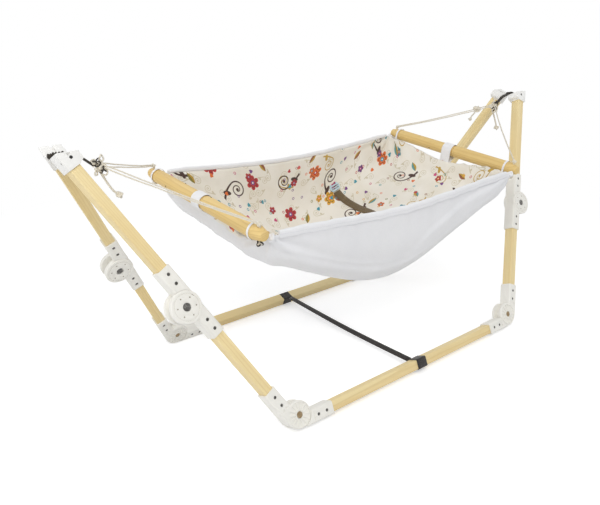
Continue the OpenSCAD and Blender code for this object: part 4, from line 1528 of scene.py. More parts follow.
@dataclass
class BedForm:
    """The sheet slung between the bars, as a grid that every layer of the bed shares."""

    rows: int = 168
    cols: int = 128
    boxiness: float = 4.6
    rise: float = 0.022
    middle_round: float = 0.4
    rim_drop: float = 0.25
    narrowing: float = 0.008
    end_gap: float = 0.0014
    end_fade: float = 0.030
    end_sags: tuple[tuple[End, float, float, float], ...] = (
        (End.LEFT, 0.004, 0.0, 10.0), (End.LEFT, 0.037, -0.128, 0.072), (End.LEFT, 0.020, 0.004, 0.060),
        (End.RIGHT, 0.003, 0.0, 10.0), (End.RIGHT, 0.025, 0.010, 0.125))
    fold: Rows = field(init=False)
    grid_u: Rows = field(init=False)
    grid_a: Rows = field(init=False)
    flat: Rows = field(init=False)

    def __post_init__(self) -> None:
        """Spreads the grid evenly over the cloth and works out its folds."""
        t = np.linspace(-1, 1, self.rows + 1)
        u = np.sign(t) * (1 - (1 - np.abs(t)) ** 1.4)
        dense = np.radians(np.linspace(-90, 90, 3001))
        angles = []
        for value in u:
            profile = self.base(np.full_like(dense, value), dense, 0.0)
            travel = travelled(profile)
            angles.append(np.interp(np.linspace(0, travel[-1], self.cols + 1), travel, dense))
        self.grid_u = np.repeat(u[:, None], self.cols + 1, axis=1)
        self.grid_a = np.array(angles)
        base = self.base(self.grid_u, self.grid_a, 0.0)
        steps = np.linalg.norm(np.diff(base, axis=1), axis=2)
        across = np.concatenate([np.zeros((self.rows + 1, 1)), np.cumsum(steps, axis=1)], axis=1)
        across -= across[:, -1:] / 2
        runs = np.linalg.norm(np.diff(base, axis=0), axis=2)
        along = np.concatenate([np.zeros((1, self.cols + 1)), np.cumsum(runs, axis=0)], axis=0)
        along -= along[self.rows // 2]
        self.flat = np.stack([along, across], axis=2)
        self.fold = self._folds(base, along, across)

    @property
    def half(self) -> float:
        """Half the length of the sheet between the bars."""
        return SIZES.spreader_half_span - SIZES.spreader_r - SIZES.cloth_gap - self.end_gap

    def keep(self, u: Rows) -> Rows:
        """1 at the middle of the bed and 0 at a bar, round at the middle."""
        top = math.hypot(1, self.middle_round)
        return (top - np.hypot(u, self.middle_round)) / (top - self.middle_round)

    def end_sag(self, end: End, y: Rows | float) -> Rows | float:
        """How far the end edge of the cloth hangs below the straight line between its corners."""
        close = np.clip((SIZES.bed_half_width - np.abs(y)) / 0.035, 0, 1)
        return sum(depth * np.exp(-((y - middle) / spread) ** 2)
                   for way, depth, middle, spread in self.end_sags if way is end) * (0.25 + 0.75 * close)

    def base(self, u: Rows, a: Rows, inset: float) -> Rows:
        """Places on the plain sheet before it is tilted.

        Args:
            u: Place along the bed, -1 to 1.
            a: Angle across it, from the front rim to the back rim, in radians.
            inset: Distance inwards from the outer face.

        Returns:
            The places, with a last axis of three.
        """
        keep = np.maximum(self.keep(u), 0)
        rim = SIZES.spreader_z - SIZES.rim_sag * keep - SIZES.spreader_r * self.rim_drop
        depth = SIZES.end_depth * (1 - np.exp(-keep * self.half / self.rise))
        depth = depth + (SIZES.bed_depth - SIZES.rim_sag - SIZES.end_depth) * keep ** 1.16
        width = SIZES.bed_half_width - self.narrowing * keep * np.abs(u)
        power = 2 / self.boxiness
        x = self.half * u - np.sign(u) * inset * np.minimum(1, np.abs(u) ** 8)
        y = (width - inset) * np.sign(np.sin(a)) * np.abs(np.sin(a)) ** power
        z = rim - np.maximum(0.00001, depth - inset) * np.abs(np.cos(a)) ** power
        near = np.exp(-(1 - np.abs(u)) * self.half / self.end_fade)
        z = z - near * np.where(u < 0, self.end_sag(End.LEFT, y), self.end_sag(End.RIGHT, y))
        return np.stack([x, y, z], axis=-1)

    def tilt(self, places: Rows) -> Rows:
        """Turns places from the upright bed into the hanging one."""
        c, s = math.cos(SIZES.cradle_tilt), math.sin(SIZES.cradle_tilt)
        y, z = places[..., 1], places[..., 2] - SIZES.tilt_z
        return np.stack([places[..., 0], y * c - z * s, y * s + z * c + SIZES.tilt_z], axis=-1)

    def _folds(self, base: Rows, along: Rows, across: Rows) -> Rows:
        """How far the cloth stands out from the plain sheet at each place of the grid."""
        x, y = base[..., 0], base[..., 1]
        runs, drops = (along - along[:1], along[-1:] - along), (across - across[:, :1], across[:, -1:] - across)
        rim, end = np.minimum(*drops), np.minimum(*runs)
        front = (y < 0).astype(float)
        ripple = np.exp(-rim / 0.05) * (np.sin(x * 71 + 1.3 + 0.9 * front) + 0.7 * np.sin(x * 143 + 2.1 * front)
                                        + 0.5 * np.sin(x * 38 + 0.4))
        found = 0.0011 * ripple * np.minimum(1, end / 0.06)
        for k, (run, drop) in enumerate((run, drop) for run in runs for drop in drops):
            reach = np.hypot(run, drop)
            angle = np.arctan2(drop, run + 1e-6)
            ray = np.sin(angle * 15 + 1.7 * k) + 0.6 * np.sin(angle * 27 + 0.8 * k + 1.0)
            found += 0.0040 * ray * np.minimum(1, reach / 0.05) * np.exp(-reach / 0.15)
        pleats = np.sin(y * 150 + 0.5) + 0.5 * np.sin(y * 83 + 1.9)
        found += 0.0016 * pleats * np.exp(-end / 0.07) * np.minimum(1, rim / 0.05)
        slack, crumple = (
            np.array([[noise.noise(Vector((a * fine_a, b * fine_b, layer))) for a, b in zip(row_a, row_b)]
                      for row_a, row_b in zip(along, across)])
            for fine_a, fine_b, layer in ((5.0, 9.0, 3.1), (17.0, 24.0, 7.7)))
        calm = np.minimum(1, rim / 0.04) * np.minimum(1, end / 0.04)
        return found + calm * (0.0035 * slack + 0.0011 * crumple)

    def layer(self, inset: float, outward: Rows | float = 0.0) -> Rows:
        """One face of one layer of the hanging bed.

        Args:
            inset: Distance inwards from the outer face of the cloth.
            outward: More distance out, beside the folds that all the layers share.

        Returns:
            The places of the grid.
        """
        places = self.base(self.grid_u, self.grid_a, inset)
        normal = np.cross(np.gradient(places, axis=1), np.gradient(places, axis=0))
        size = np.linalg.norm(normal, axis=-1, keepdims=True)
        normal = np.where(size > 1e-12, normal / np.maximum(size, 1e-12), 0.0)
        sign = np.sign(np.sum(normal * (places - (0.0, 0.0, SIZES.spreader_z)), axis=-1, keepdims=True))
        normal = normal * np.where(sign == 0, 1, sign)
        return self.tilt(places + normal * (self.fold + outward)[..., None])

    def at(self, u: float, a: float, inset: float) -> Rows:
        """One place of the hanging bed, with the grid's folds.

        Args:
            u, a, inset: As for the plain sheet.

        Returns:
            The place.
        """
        row = int(np.argmin(np.abs(self.grid_u[:, 0] - u)))
        fold = np.interp(a, self.grid_a[row], self.fold[row])
        here = self.base(np.array(u), np.array(a), inset)
        step = 1e-4
        ahead = self.base(np.array(u + step), np.array(a), inset) - here
        side = self.base(np.array(u), np.array(a + step), inset) - here
        normal = np.cross(side, ahead)
        normal /= max(np.linalg.norm(normal), 1e-12)
        if normal @ (here - np.array((0, 0, SIZES.spreader_z))) < 0:
            normal = -normal
        return self.tilt(here + normal * fold)


@dataclass
class Bed:
    """The bed: outer cloth, printed lining, hems, loops on the bars, belt and buckle."""

    finishes: Finishes
    trees: Trees
    form: BedForm = field(default_factory=BedForm)
    mat_half: tuple[float, float] = (0.45, 0.246)
    mat_corner: float = 0.10
    mat_lift: float = 0.0068
    mat_pleat: float = 0.0026
    crease_soft: float = 0.0022
    roll_lift: float = 0.0058
    roll_x: tuple[float, ...] = (0.0, 0.05, 0.095, 0.2, 0.3, 0.374)
    roll_s: tuple[float, ...] = (-0.250, -0.285, -0.306, -0.314, -0.302, -0.286)
    hem_inset: float = 0.0028
    hem_lift: float = 0.0063
    belt_u: tuple[float, float] = (0.42, 0.49)
    belt_span: tuple[float, float] = (18 / 22, 6 / 22)
    belt_width: float = 0.025
    belt_t: float = 0.002
    bar_joint: float = -0.019
    bar_step: float = 0.0012
    loops: tuple[tuple[float, float], ...] = ((-0.205, 0.006), (0.0, 0.034), (0.205, 0.006))
    loop_t: float = 0.0013
    facing_rows: int = 8
    facing_y: tuple[float, float] = (-0.185, -0.012)
    pins: tuple[tuple[End, float, float], ...] = (
        (End.LEFT, 0.137, -12.0), (End.LEFT, -0.032, 105.0), (End.LEFT, 0.085, 118.0), (End.RIGHT, 0.069, -28.0))
    buckle_length: float = 0.020
    buckle_width: float = 0.036
    buckle_t: float = 0.0044
    stitch: Item = field(init=False)

    def __post_init__(self) -> None:
        """Makes the stitch that all the seams share."""
        self.stitch = self._stitch()

    def build(self) -> None:
        """Makes every piece of the bed."""
        self._shell()
        self._lining()
        for side in Side:
            self._hem(side)
        for end in End:
            self._bar(end)
            self._loops(end)
            self._corner_ties(end)
        self._facing()
        self._belt()
        self._buckle()
        bpy.data.objects.remove(self.stitch)

    @staticmethod
    def _two_faced(name: str, outer: Rows, inner: Rows, material: Material, uv: Rows) -> Item:
        """A closed sheet between two grids of places.

        Args:
            name: The piece's name.
            outer, inner: The grids.
            material: Its finish.
            uv: Place of each point of the grid on the flat cloth.

        Returns:
            The sheet.
        """
        rows, cols = outer.shape[:2]
        count = rows * cols
        number = np.arange(count).reshape(rows, cols)
        a, b = number[:-1, :-1].ravel(), number[:-1, 1:].ravel()
        c, d = number[1:, 1:].ravel(), number[1:, :-1].ravel()
        faces = [*np.stack([a, d, c, b], axis=1), *(np.stack([a, b, c, d], axis=1) + count)]
        ring = np.concatenate([number[0, :-1], number[:-1, -1], number[-1, :0:-1], number[:0:-1, 0]])
        on = np.roll(ring, -1)
        faces += [*np.stack([ring, on, on + count, ring + count], axis=1)]
        points = np.concatenate([outer.reshape(-1, 3), inner.reshape(-1, 3)])
        flat = np.concatenate([uv.reshape(-1, 2)] * 2)
        return turn_outwards(make_mesh(name, points, [f.tolist() for f in faces], material, flat), 1e-7)

    def _crease(self, gap: Rows) -> Rows:
        """1 where the gap is below 0, 0 where it is above, with the softness of a crease between."""
        return 1 / (1 + np.exp(np.clip(gap / self.crease_soft, -40, 40)))

    def _pressed_out(self) -> Rows:
        """How far the firm bottom's edge, and a long roll below the front rim, push the outer cloth out."""
        x, s = self.form.flat[..., 0], self.form.flat[..., 1]
        along = np.abs(x) - (self.mat_half[0] - self.mat_corner)
        across = np.abs(s) - (self.mat_half[1] - self.mat_corner)
        gap = (np.hypot(np.maximum(along, 0), np.maximum(across, 0)) + np.minimum(np.maximum(along, across), 0)
               - self.mat_corner + 0.010 * np.sin(x * 9.0 + 0.6) * np.sign(s) - 0.004)
        pleat = np.exp(-((gap - 0.011) / 0.0055) ** 2)
        fade = 0.45 + 0.55 * np.clip((0.16 - x) / 0.22, 0, 1)
        below = s - np.interp(x, self.roll_x, self.roll_s)
        roll = self._crease(-below) * np.exp(-(np.maximum(below, 0) / 0.055) ** 2)
        roll *= np.clip((x - 0.02) / 0.10, 0, 1) * np.clip((0.40 - x) / 0.08, 0, 1) * (s < 0)
        return (self.mat_lift * self._crease(gap) + self.mat_pleat * pleat) * fade + self.roll_lift * roll

    def _shell(self) -> None:
        """The white outer cloth."""
        outer = self.form.layer(0.0, np.maximum(self._pressed_out(), 0))
        item = self._two_faced("outer_cloth", outer, self.form.layer(SIZES.shell_t), self.finishes.outer_cloth,
                               self.form.flat)
        put_in_place(item, "cradle", "bed_shell")

    def _lining(self) -> None:
        """The printed lining, inside the outer cloth."""
        inset = SIZES.shell_t + SIZES.cloth_gap
        item = self._two_faced("printed_lining", self.form.layer(inset), self.form.layer(inset + SIZES.lining_t),
                               self.finishes.printed, self.form.flat)
        put_in_place(item, "cradle", "bed_lining")

    def _rim(self, side: Side, lift: float, reach: float = 0.955, out: float = 0.0) -> Rows:
        """A line along a rim of the bed, before it is tilted.

        Args:
            side: Which rim.
            lift: Height above it.
            reach: How far along the bed it goes, up to 1.
            out: Distance outwards from the hem's middle.

        Returns:
            The places, one row each.
        """
        u = np.linspace(-reach, reach, 241)
        fold = np.interp(u, self.form.grid_u[:, 0], self.form.fold[:, 0 if side is Side.FRONT else self.form.cols])
        places = self.form.base(u, np.full_like(u, side.value * math.pi / 2), self.hem_inset)
        return places + np.column_stack([np.zeros_like(u), side.value * (fold + out), np.full_like(u, lift)])

    def _hem(self, side: Side) -> None:
        """The rolled hem along one rim, with its skirt outside and its row of stitches."""
        centre = self._rim(side, self.hem_lift)
        section = [(-0.0036, -0.0066), (-0.0045, -0.0015), (-0.0041, 0.0028), (-0.0026, 0.0052), (0.0, 0.0060),
                   (0.0026, 0.0053), (0.0044, 0.0026), (0.0050, -0.0020), (0.0046, -0.0070), (0.0042, -0.0125),
                   (0.0040, -0.0152), (0.0030, -0.0154), (0.0030, -0.0064)]
        girth = travelled(np.array(section))
        travel = travelled(centre)
        points, flat = [], []
        for i, place in enumerate(centre):
            swell = 1 + 0.10 * noise.noise(Vector((place[0] * 22, side.value * 3.0, 0.4)))
            droop = 1 + 0.05 * noise.noise(Vector((place[0] * 30, 5.0, 0.1)))
            pinch = min(1.0, 0.35 + 12 * min(travel[i], travel[-1] - travel[i]))
            for k, (out, up) in enumerate(section):
                move = out * (swell if up > -0.003 else 1.0)
                rise = up * (pinch if up > 0 else droop if up <= -0.008 else 1.0)
                points.append(place + np.array((0, side.value * move, rise)))
                flat.append((travel[i], girth[k]))
        item = soften(turn_outwards(make_mesh(f"{side.word}_rim_hem", self.form.tilt(np.array(points)),
                                              tube_faces(len(centre), len(section)), self.finishes.hem_cloth,
                                              np.array(flat))))
        put_in_place(item, "cradle", "rim_hems")
        for number, drop in enumerate((0.0052, 0.0132)):
            line = self._rim(side, self.hem_lift - drop, 0.95, 0.0047)
            self._stitches(f"{side.word}_hem_stitches_{number}", self.form.tilt(line))

    def _stitches(self, name: str, line: Rows) -> None:
        """A row of stitches along a line."""
        item = self.trees.row.run(line_object(name, line), Spacing=0.0042, Piece=self.stitch,
                                  Material=self.finishes.stitching)
        item.data.shade_smooth()
        put_in_place(item, "cradle", slot="hem_cloth")

    @staticmethod
    def _stitch() -> Item:
        """One stitch, lying along X."""
        length, radius = 0.0032, 0.00042
        rings = [(-0.5, 0.3), (-0.3, 0.9), (0.0, 1.0), (0.3, 0.9), (0.5, 0.3)]
        mesh = bpy.data.meshes.new("stitch")
        points = [(x * length, radius * r * c, radius * r * s) for x, r in rings for c, s in circle(5)]
        mesh.from_pydata(points, [], tube_faces(len(rings), 5))
        return turn_outwards(bpy.data.objects.new("stitch", mesh))

    @staticmethod
    def _bar_place(end: End) -> Matrix:
        """Place of a spreader bar, with X along it and its middle at 0."""
        lift = Matrix.Translation((0, 0, SIZES.tilt_z)) @ Matrix.Rotation(SIZES.cradle_tilt, 4, "X")
        middle = (end.value * SIZES.spreader_half_span, 0, SIZES.spreader_z - SIZES.tilt_z)
        return lift @ Matrix.Translation(middle) @ Matrix.Rotation(math.pi / 2, 4, "Z")

    def _bar_profile(self) -> list[tuple[float, float]]:
        """Distance along a bar and radius: two turned halves that butt beside the middle loop."""
        half, nose, taper = SIZES.spreader_half, SIZES.spreader_nose, SIZES.spreader_taper
        near_r, far_r, joint = SIZES.spreader_r, SIZES.spreader_r - self.bar_step, self.bar_joint
        turn = np.linspace(0.0, math.pi / 2, 6)
        tip = [(half - nose * (1 - math.cos(t)), SIZES.spreader_end_r - nose * (1 - math.sin(t))) for t in turn]
        rings = [(-x, r) for x, r in tip]
        rings += [(x, near_r) for x in np.linspace(-half + taper, joint - 0.004, 18)]
        rings += [(joint - 0.004 + 0.0032 * math.sin(t), near_r - 0.0042 * (1 - math.cos(t))) for t in turn[1:]]
        rings += [(joint, 0.0128), (joint + 0.0004, far_r - 0.0016), (joint + 0.0016, far_r)]
        rings += [(x, far_r) for x in np.linspace(joint + 0.006, half - taper, 20)]
        return rings + tip[::-1]

    def _bar(self, end: End) -> None:
        """A turned spreader bar with tapered ends, and the pins that hold the cloth to it."""
        node = f"{end.word}_spreader_bar"
        place = self._bar_place(end)
        sides, rings = 48, self._bar_profile()
        points = [place @ Vector((x, r * c, r * s)) for x, r in rings for c, s in circle(sides)]
        item = turn_outwards(make_mesh(f"{node}_turned", points, tube_faces(len(rings), sides), self.finishes.bar_wood))
        item.data.set_sharp_from_angle(angle=math.radians(40))
        add_grain(item, place, node)
        put_in_place(item, "cradle", node)
        pins = [self._pin(f"{node}_pin_{number}", place, y, math.radians(angle))
                for number, (way, y, angle) in enumerate(self.pins) if way is end]
        put_in_place(join(f"{node}_pins", pins), "cradle", slot="dark_steel")

    def _pin(self, name: str, place: Matrix, y: float, angle: float) -> Item:
        """A small domed pin head on a bar, in the darker steel that is painted shade.

        Args:
            name: The pin's name.
            place: The bar's own place.
            y: Distance along the bar.
            angle: Where round the bar.

        Returns:
            The pin.
        """
        sides, radius = 14, SIZES.spreader_r - (self.bar_step if y > self.bar_joint else 0.0)
        rings = [(0.0017, -0.002), (0.0017, 0.0002), (0.0015, 0.0007), (0.0009, 0.0010), (0.0003, 0.0011)]
        out = Vector((0, math.cos(angle), math.sin(angle)))
        across, along = Vector((0, -math.sin(angle), math.cos(angle))), Vector((1, 0, 0))
        points = [place @ (along * (y + r * c) + across * r * s + out * (radius + up))
                  for r, up in rings for c, s in circle(sides)]
        return turn_outwards(make_mesh(name, points, tube_faces(len(rings), sides), self.finishes.shadowed_steel))

    def _loop_route(self, end: End, y: float) -> Rows:
        """A loop's route in X and Z: round its bar, and down to the edge of the cloth."""
        r = SIZES.spreader_r + 0.0006
        middle = np.array((end.value * SIZES.spreader_half_span, SIZES.spreader_z))
        down = np.array((end.value * self.form.half - middle[0],
                         -SIZES.spreader_r * self.form.rim_drop - float(self.form.end_sag(end, y)) - 0.006))
        reach = float(np.hypot(*down))
        heading = math.atan2(down[1], down[0])
        open_by = math.acos(min(0.97, r / reach))
        angles = heading + open_by + (math.tau - 2 * open_by) * np.linspace(0, 1, 37)
        arc = r * np.column_stack([np.cos(angles), np.sin(angles)])
        side = np.array((-down[1], down[0])) / reach * 0.0006
        tip = [down - side, down, down + side]
        lead = [arc[-1] + (tip[0] - arc[-1]) * t for t in (0.3, 0.6, 0.85)]
        back = [tip[-1] + (arc[0] - tip[-1]) * t for t in (0.15, 0.4, 0.7)]
        return np.array([*arc, *lead, *tip, *back]) + middle

    def _loops(self, end: End) -> None:
        """The cloth loops that carry the bed on a bar."""
        items = []
        for number, (y, width) in enumerate(self.loops):
            flat = self._loop_route(end, y)
            route = np.column_stack([flat[:, 0], np.full(len(flat), y), flat[:, 1]])
            across = np.tile((0.0, 1.0, 0.0), (len(route), 1))
            middle = np.array((end.value * SIZES.spreader_half_span, y, SIZES.spreader_z))
            if np.cross(across[0], route[1] - route[0]) @ (route[0] - middle) < 0:
                across = -across
            items.append(tape(f"{end.word}_loop_{number}", route, across, width, self.loop_t,
                              self.finishes.hem_cloth, True))
        item = join(f"{end.word}_cloth_loops", items)
        move_points(item, self.form.tilt)
        put_in_place(soften(item), "cradle", f"{end.word}_bar_loops")

    def _facing(self) -> None:
        """The lining where it is turned out over the slack edge at the front half of the left end."""
        outer, back = self.form.layer(0.0, 0.0011), self.form.layer(0.0, 0.0003)
        row = self.form.base(self.form.grid_u[self.facing_rows], self.form.grid_a[self.facing_rows], 0.0)[:, 1]
        first, last = (int(np.searchsorted(row, y)) for y in self.facing_y)
        cut = (slice(0, self.facing_rows + 1), slice(first, last + 1))
        item = self._two_faced("left_end_facing", outer[cut], back[cut], self.finishes.printed, self.form.flat[cut])
        put_in_place(item, "cradle", slot="printed_lining")

    def _corner_ties(self, end: End) -> None:
        """The bunched corners of the hems, each knotted at the end of a bar."""
        parts = []
        for side in Side:
            edge = self.form.base(np.array(end.value * 0.992), np.array(side.value * math.pi / 2), 0.0)
            centre = self.form.tilt(edge + np.array((end.value * 0.001, -side.value * 0.002, -0.004)))
            for number, (size, turn) in enumerate(((0.0075, Matrix.Rotation(0.6 * side.value, 3, "X")),
                                                   (0.0055, Matrix.Rotation(1.1, 3, "Y")))):
                line = line_object(f"tie_{side.word}_{number}", knot_route(centre, size, turn, 72), True)
                parts.append(self.trees.cord.run(line, Radius=0.0030, Lay=1.0, Lobes=2, Depth=0.0, Step=0.0022,
                                                 Sides=10, Material=self.finishes.hem_cloth))
        put_in_place(join(f"{end.word}_corner_ties", parts), "cradle", slot="hem_cloth")

    def _belt_at(self, share: float, side: float, inset: float) -> Rows:
        """A place on the belt's route.

        Args:
            share: 0 at the buckle, 1 at its lower end.
            side: -1 to 1 across it.
            inset: Distance inwards from the outer face of the cloth.

        Returns:
            The place.
        """
        first, last = self.belt_span
        a = -math.pi / 2 + math.pi * (first + (last - first) * share)
        u = self.belt_u[0] + (self.belt_u[1] - self.belt_u[0]) * math.copysign(abs(share) ** 0.8, share)
        return self.form.at(u + side * self.belt_width / 2 / self.form.half, a, inset)

    def _belt(self) -> None:
        """The webbing belt over the lining."""
        inset = SIZES.shell_t + SIZES.cloth_gap + SIZES.lining_t + 0.0004
        shares = np.linspace(0.0, 1.0, 121)
        middle, low, high, inner = (np.array([self._belt_at(s, side, depth) for s in shares]) for side, depth in (
            (0.0, inset), (-1.0, inset), (1.0, inset), (0.0, inset + 0.002)))
        across = unit(high - low)
        if float(np.sum(np.cross(across, np.gradient(middle, axis=0)) * (inner - middle))) < 0:
            across = -across
        item = tape("restraint_belt", middle, across, self.belt_width, self.belt_t, self.finishes.belt)
        put_in_place(item, "cradle", "restraint_strap")

    def _buckle_place(self) -> Matrix:
        """Place of the buckle: Y on from the belt's upper end, Z away from the lining."""
        inset = SIZES.shell_t + SIZES.cloth_gap + SIZES.lining_t + 0.0008
        low = self._belt_at(0.0, 0.0, inset)
        ahead = Vector(self._belt_at(-0.10, 0.0, inset) - low).normalized()
        side = Vector(self._belt_at(0.0, 1.0, inset) - self._belt_at(0.0, -1.0, inset)).normalized()
        up = side.cross(ahead).normalized()
        if up.y > 0:
            up = -up
        side = ahead.cross(up).normalized()
        return Matrix.Translation(low) @ Matrix((side, ahead, up)).transposed().to_4x4()

    def _buckle(self) -> None:
        """The open half of the belt's buckle: a frame with rounded bars, a middle bar and two prongs."""
        length, half, mid, start, rim = self.buckle_length, self.buckle_width / 2, self.buckle_t / 2, 0.0036, 0.0026
        corners = [(x * (half - rim), start + y)
                   for x, y in ((-1, rim), (1, rim), (1, length - rim), (-1, length - rim))]
        ring = spline([(x, y, mid) for x, y in self._soft_corners(corners, 0.004)], 2, True)
        parts = [self._bar_along("buckle_frame", ring, rim, mid, True)]
        y, end = start + length / 2, half - 0.0024
        cross = spline([(-end, y, mid), (0, y, mid + 0.0004), (end, y, mid)], 6)
        parts.append(self._bar_along("buckle_bar", cross, 0.0016, mid * 0.8))
        for x in (-0.011, 0.011):
            prong = np.array([(x, start + length - 0.003, mid), (x * 1.05, start + length + 0.003, mid)])
            parts.append(self._bar_along("buckle_prong", prong, 0.0022, mid * 0.9))
        item = join("restraint_buckle_frame", parts)
        item.data.transform(self._buckle_place())
        put_in_place(item, "cradle", "restraint_buckle")

    @staticmethod
    def _soft_corners(corners: Sequence[tuple[float, float]], radius: float) -> list[Rows]:
        """Corners of an outline, each as three points: before it, drawn in towards the middle, and after it."""
        places = np.array(corners)
        found = []
        for i, here in enumerate(places):
            back, on = (here + (other - here) * radius / np.linalg.norm(other - here)
                        for other in (places[i - 1], places[(i + 1) % len(places)]))
            found += [back, here + np.copysign(radius * 0.25, places.mean(axis=0) - here), on]
        return found

    def _bar_along(self, name: str, route: Rows, wide: float, high: float, closed: bool = False) -> Item:
        """A rounded bar along a route that lies level in the buckle's own place.

        Args:
            name: The bar's name.
            route: Places along its middle, one row each.
            wide, high: Half its width and half its height.
            closed: Whether the route returns to its start.

        Returns:
            The bar.
        """
        side = np.cross(headings(route, closed), (0.0, 0.0, 1.0))
        section = [tuple(math.copysign(abs(v) ** 0.55, v) for v in place) for place in circle(12)]
        points = [place + side[i] * wide * c + np.array((0, 0, high * s))
                  for i, place in enumerate(route) for c, s in section]
        return turn_outwards(make_mesh(name, points, tube_faces(len(route), 12, closed), self.finishes.buckle))


# ---- Ropes and cords ----


def knot_route(centre: Rows, size: float, turn: Matrix, steps: int = 120) -> Rows:
    """A tight overhand knot's closed line.

    Args:
        centre: Middle of the knot.
        size: Radius of the room that the line takes, without the rope's own.
        turn: Which way the knot lies.
        steps: Points along the line.

    Returns:
        The places along the line.
    """
    found = []
    for k in range(steps):
        t = math.tau * k / steps
        place = Vector((math.sin(t) + 2 * math.sin(2 * t), math.cos(t) - 2 * math.cos(2 * t), -2.1 * math.sin(3 * t)))
        found.append(centre + np.array(turn @ place) * size / 3)
    return np.array(found)


@dataclass
class Rigging:
    """What the cradle hangs by: ropes, knots, stop knots, tails and the cords at the caps."""

    finishes: Finishes
    trees: Trees
    rope_lay: float = 0.017
    strand_r: float = 0.0016
    winding_r: float = 0.0014
    tail_run: tuple[Point, ...] = (
        (-0.664, 0.005, 0.5888), (-0.662, 0.005, 0.578), (-0.657, 0.005, 0.568), (-0.651, 0.005, 0.556),
        (-0.645, 0.004, 0.545), (-0.639, 0.004, 0.537), (-0.632, 0.003, 0.531))
    other_tail_run: tuple[Point, ...] = (
        (0.664, 0.005, 0.5888), (0.666, 0.005, 0.579), (0.671, 0.004, 0.569), (0.676, 0.003, 0.559),
        (0.680, 0.002, 0.548), (0.683, 0.0, 0.537), (0.685, -0.001, 0.528))
    slip_run: tuple[Point, ...] = ((-0.004, 0.002, -0.004), (-0.010, 0.006, -0.014), (-0.016, 0.010, -0.023),
                                   (-0.020, 0.012, -0.031))
    cord_run: tuple[Point, ...] = ((-0.7045, -0.0034, 0.6195), (-0.722, -0.0036, 0.6245), (-0.736, -0.0016, 0.6278))
    coil_line: tuple[Point, ...] = ((-0.7325, 0.0, 0.6285), (-0.7485, 0.0, 0.6288), (-0.7645, 0.0, 0.6268))
    coil_r: float = 0.0034
    coil_turns: int = 6
    lumps: tuple[tuple[Point, float, float, str], ...] = (
        ((0.0, 0.0, 0.0), 0.0105, 0.3, "X"), ((0.010, 0.004, 0.004), 0.0085, 1.2, "Y"),
        ((0.003, -0.006, -0.006), 0.0080, -0.8, "X"), ((-0.008, 0.003, -0.003), 0.0078, 0.5, "Y"))
    bights: tuple[tuple[Point, float, float, float], ...] = (
        ((-0.003, -0.004, 0.014), 0.0052, 0.0062, 0.4), ((-0.005, -0.007, -0.015), 0.0062, 0.0060, -0.5),
        ((0.012, -0.006, -0.012), 0.0044, 0.0070, 0.9))
    windings: tuple[tuple[Point, float, float], ...] = (
        ((0.006, -0.003, 0.006), 0.0085, 0.9), ((-0.002, -0.006, -0.009), 0.0075, -0.6))

    def build(self) -> None:
        """Makes the rigging of both ends."""
        for end in End:
            self._apex_cord(end)
            self._apex_knot(end)
            for side in Side:
                self._rope(end, side)
            self._tail(end)

    def _hang(self, item: Item, *nodes: str) -> Item:
        """Hangs a piece of rope on the cradle, in the place of its CAD nodes if it has any."""
        return put_in_place(item, "cradle", *nodes, slot="cream_rope")

    def _laid(self, name: str, route: Rows, radius: float, closed: bool = False) -> Item:
        """Three-strand cream rope along a route."""
        return self.trees.cord.run(line_object(name, route, closed), Radius=radius, Lay=self.rope_lay, Lobes=3,
                                   Depth=0.30, Step=0.0011, Sides=24, Material=self.finishes.rope)

    def _braided(self, name: str, route: Rows, radius: float, closed: bool = False) -> Item:
        """Dark braided cord along a route."""
        return self.trees.cord.run(line_object(name, route, closed), Radius=radius, Lay=1.0, Lobes=2, Depth=0.0,
                                   Step=0.0016, Sides=16, Material=self.finishes.dark_cord)

    def _knot(self, name: str, centre: Rows, size: float, turn: Matrix) -> Item:
        """A rope's knot, with a packed core so that no light passes through it.

        Args:
            name: The knot's name.
            centre: Its middle.
            size: Radius of the room that it takes.
            turn: Which way it lies.

        Returns:
            The knot.
        """
        coil = self._laid(f"{name}_coil", knot_route(centre, size - SIZES.rope_r * 0.9, turn), SIZES.rope_r * 0.96,
                          True)
        shape = bmesh.new()
        bmesh.ops.create_icosphere(shape, subdivisions=3, radius=size * 0.62, matrix=Matrix.Translation(centre))
        core = from_shape(f"{name}_core", shape, self.finishes.rope)
        core.data.shade_smooth()
        return join(name, [coil, core])

    @staticmethod
    def _apex(end: End) -> Rows:
        """Place of an end's apex knot."""
        return np.array((end.value * SIZES.knot_x, SIZES.hang_y, SIZES.knot_z))

    @staticmethod
    def _bar_point(end: End, y: float, up: float) -> Rows:
        """A place at a spreader bar, on the tilted cradle."""
        c, s = math.cos(SIZES.cradle_tilt), math.sin(SIZES.cradle_tilt)
        z = SIZES.spreader_z + up - SIZES.tilt_z
        return np.array((end.value * SIZES.spreader_half_span, y * c - z * s, y * s + z * c + SIZES.tilt_z))

    def _pair(self, name: str, route: Rows, wide: float, close: float) -> Item:
        """Two thin ropes side by side along a route.

        Args:
            name: The pair's name.
            route: Places along its middle, one row each.
            wide: Their widest distance apart, near the start.
            close: Their distance apart at both ends.

        Returns:
            The pair.
        """
        share = np.linspace(0, 1, len(route))
        gap = np.interp(share, (0.0, 0.12, 0.6, 1.0), (close, wide, close * 1.2, close))
        strands = []
        for number, way in enumerate((-1, 1)):
            shift = np.outer(gap, (0.0, 0.25, 0.97)) * way / 2
            sway = np.array([noise.noise(Vector((t * 6.0, number * 3.0, 0.7))) for t in share])
            strands.append(self._laid(f"{name}_{number}", route + shift + np.outer(sway, (0.0, 0.0, 0.0010)),
                                      self.strand_r))
        return join(name, strands)

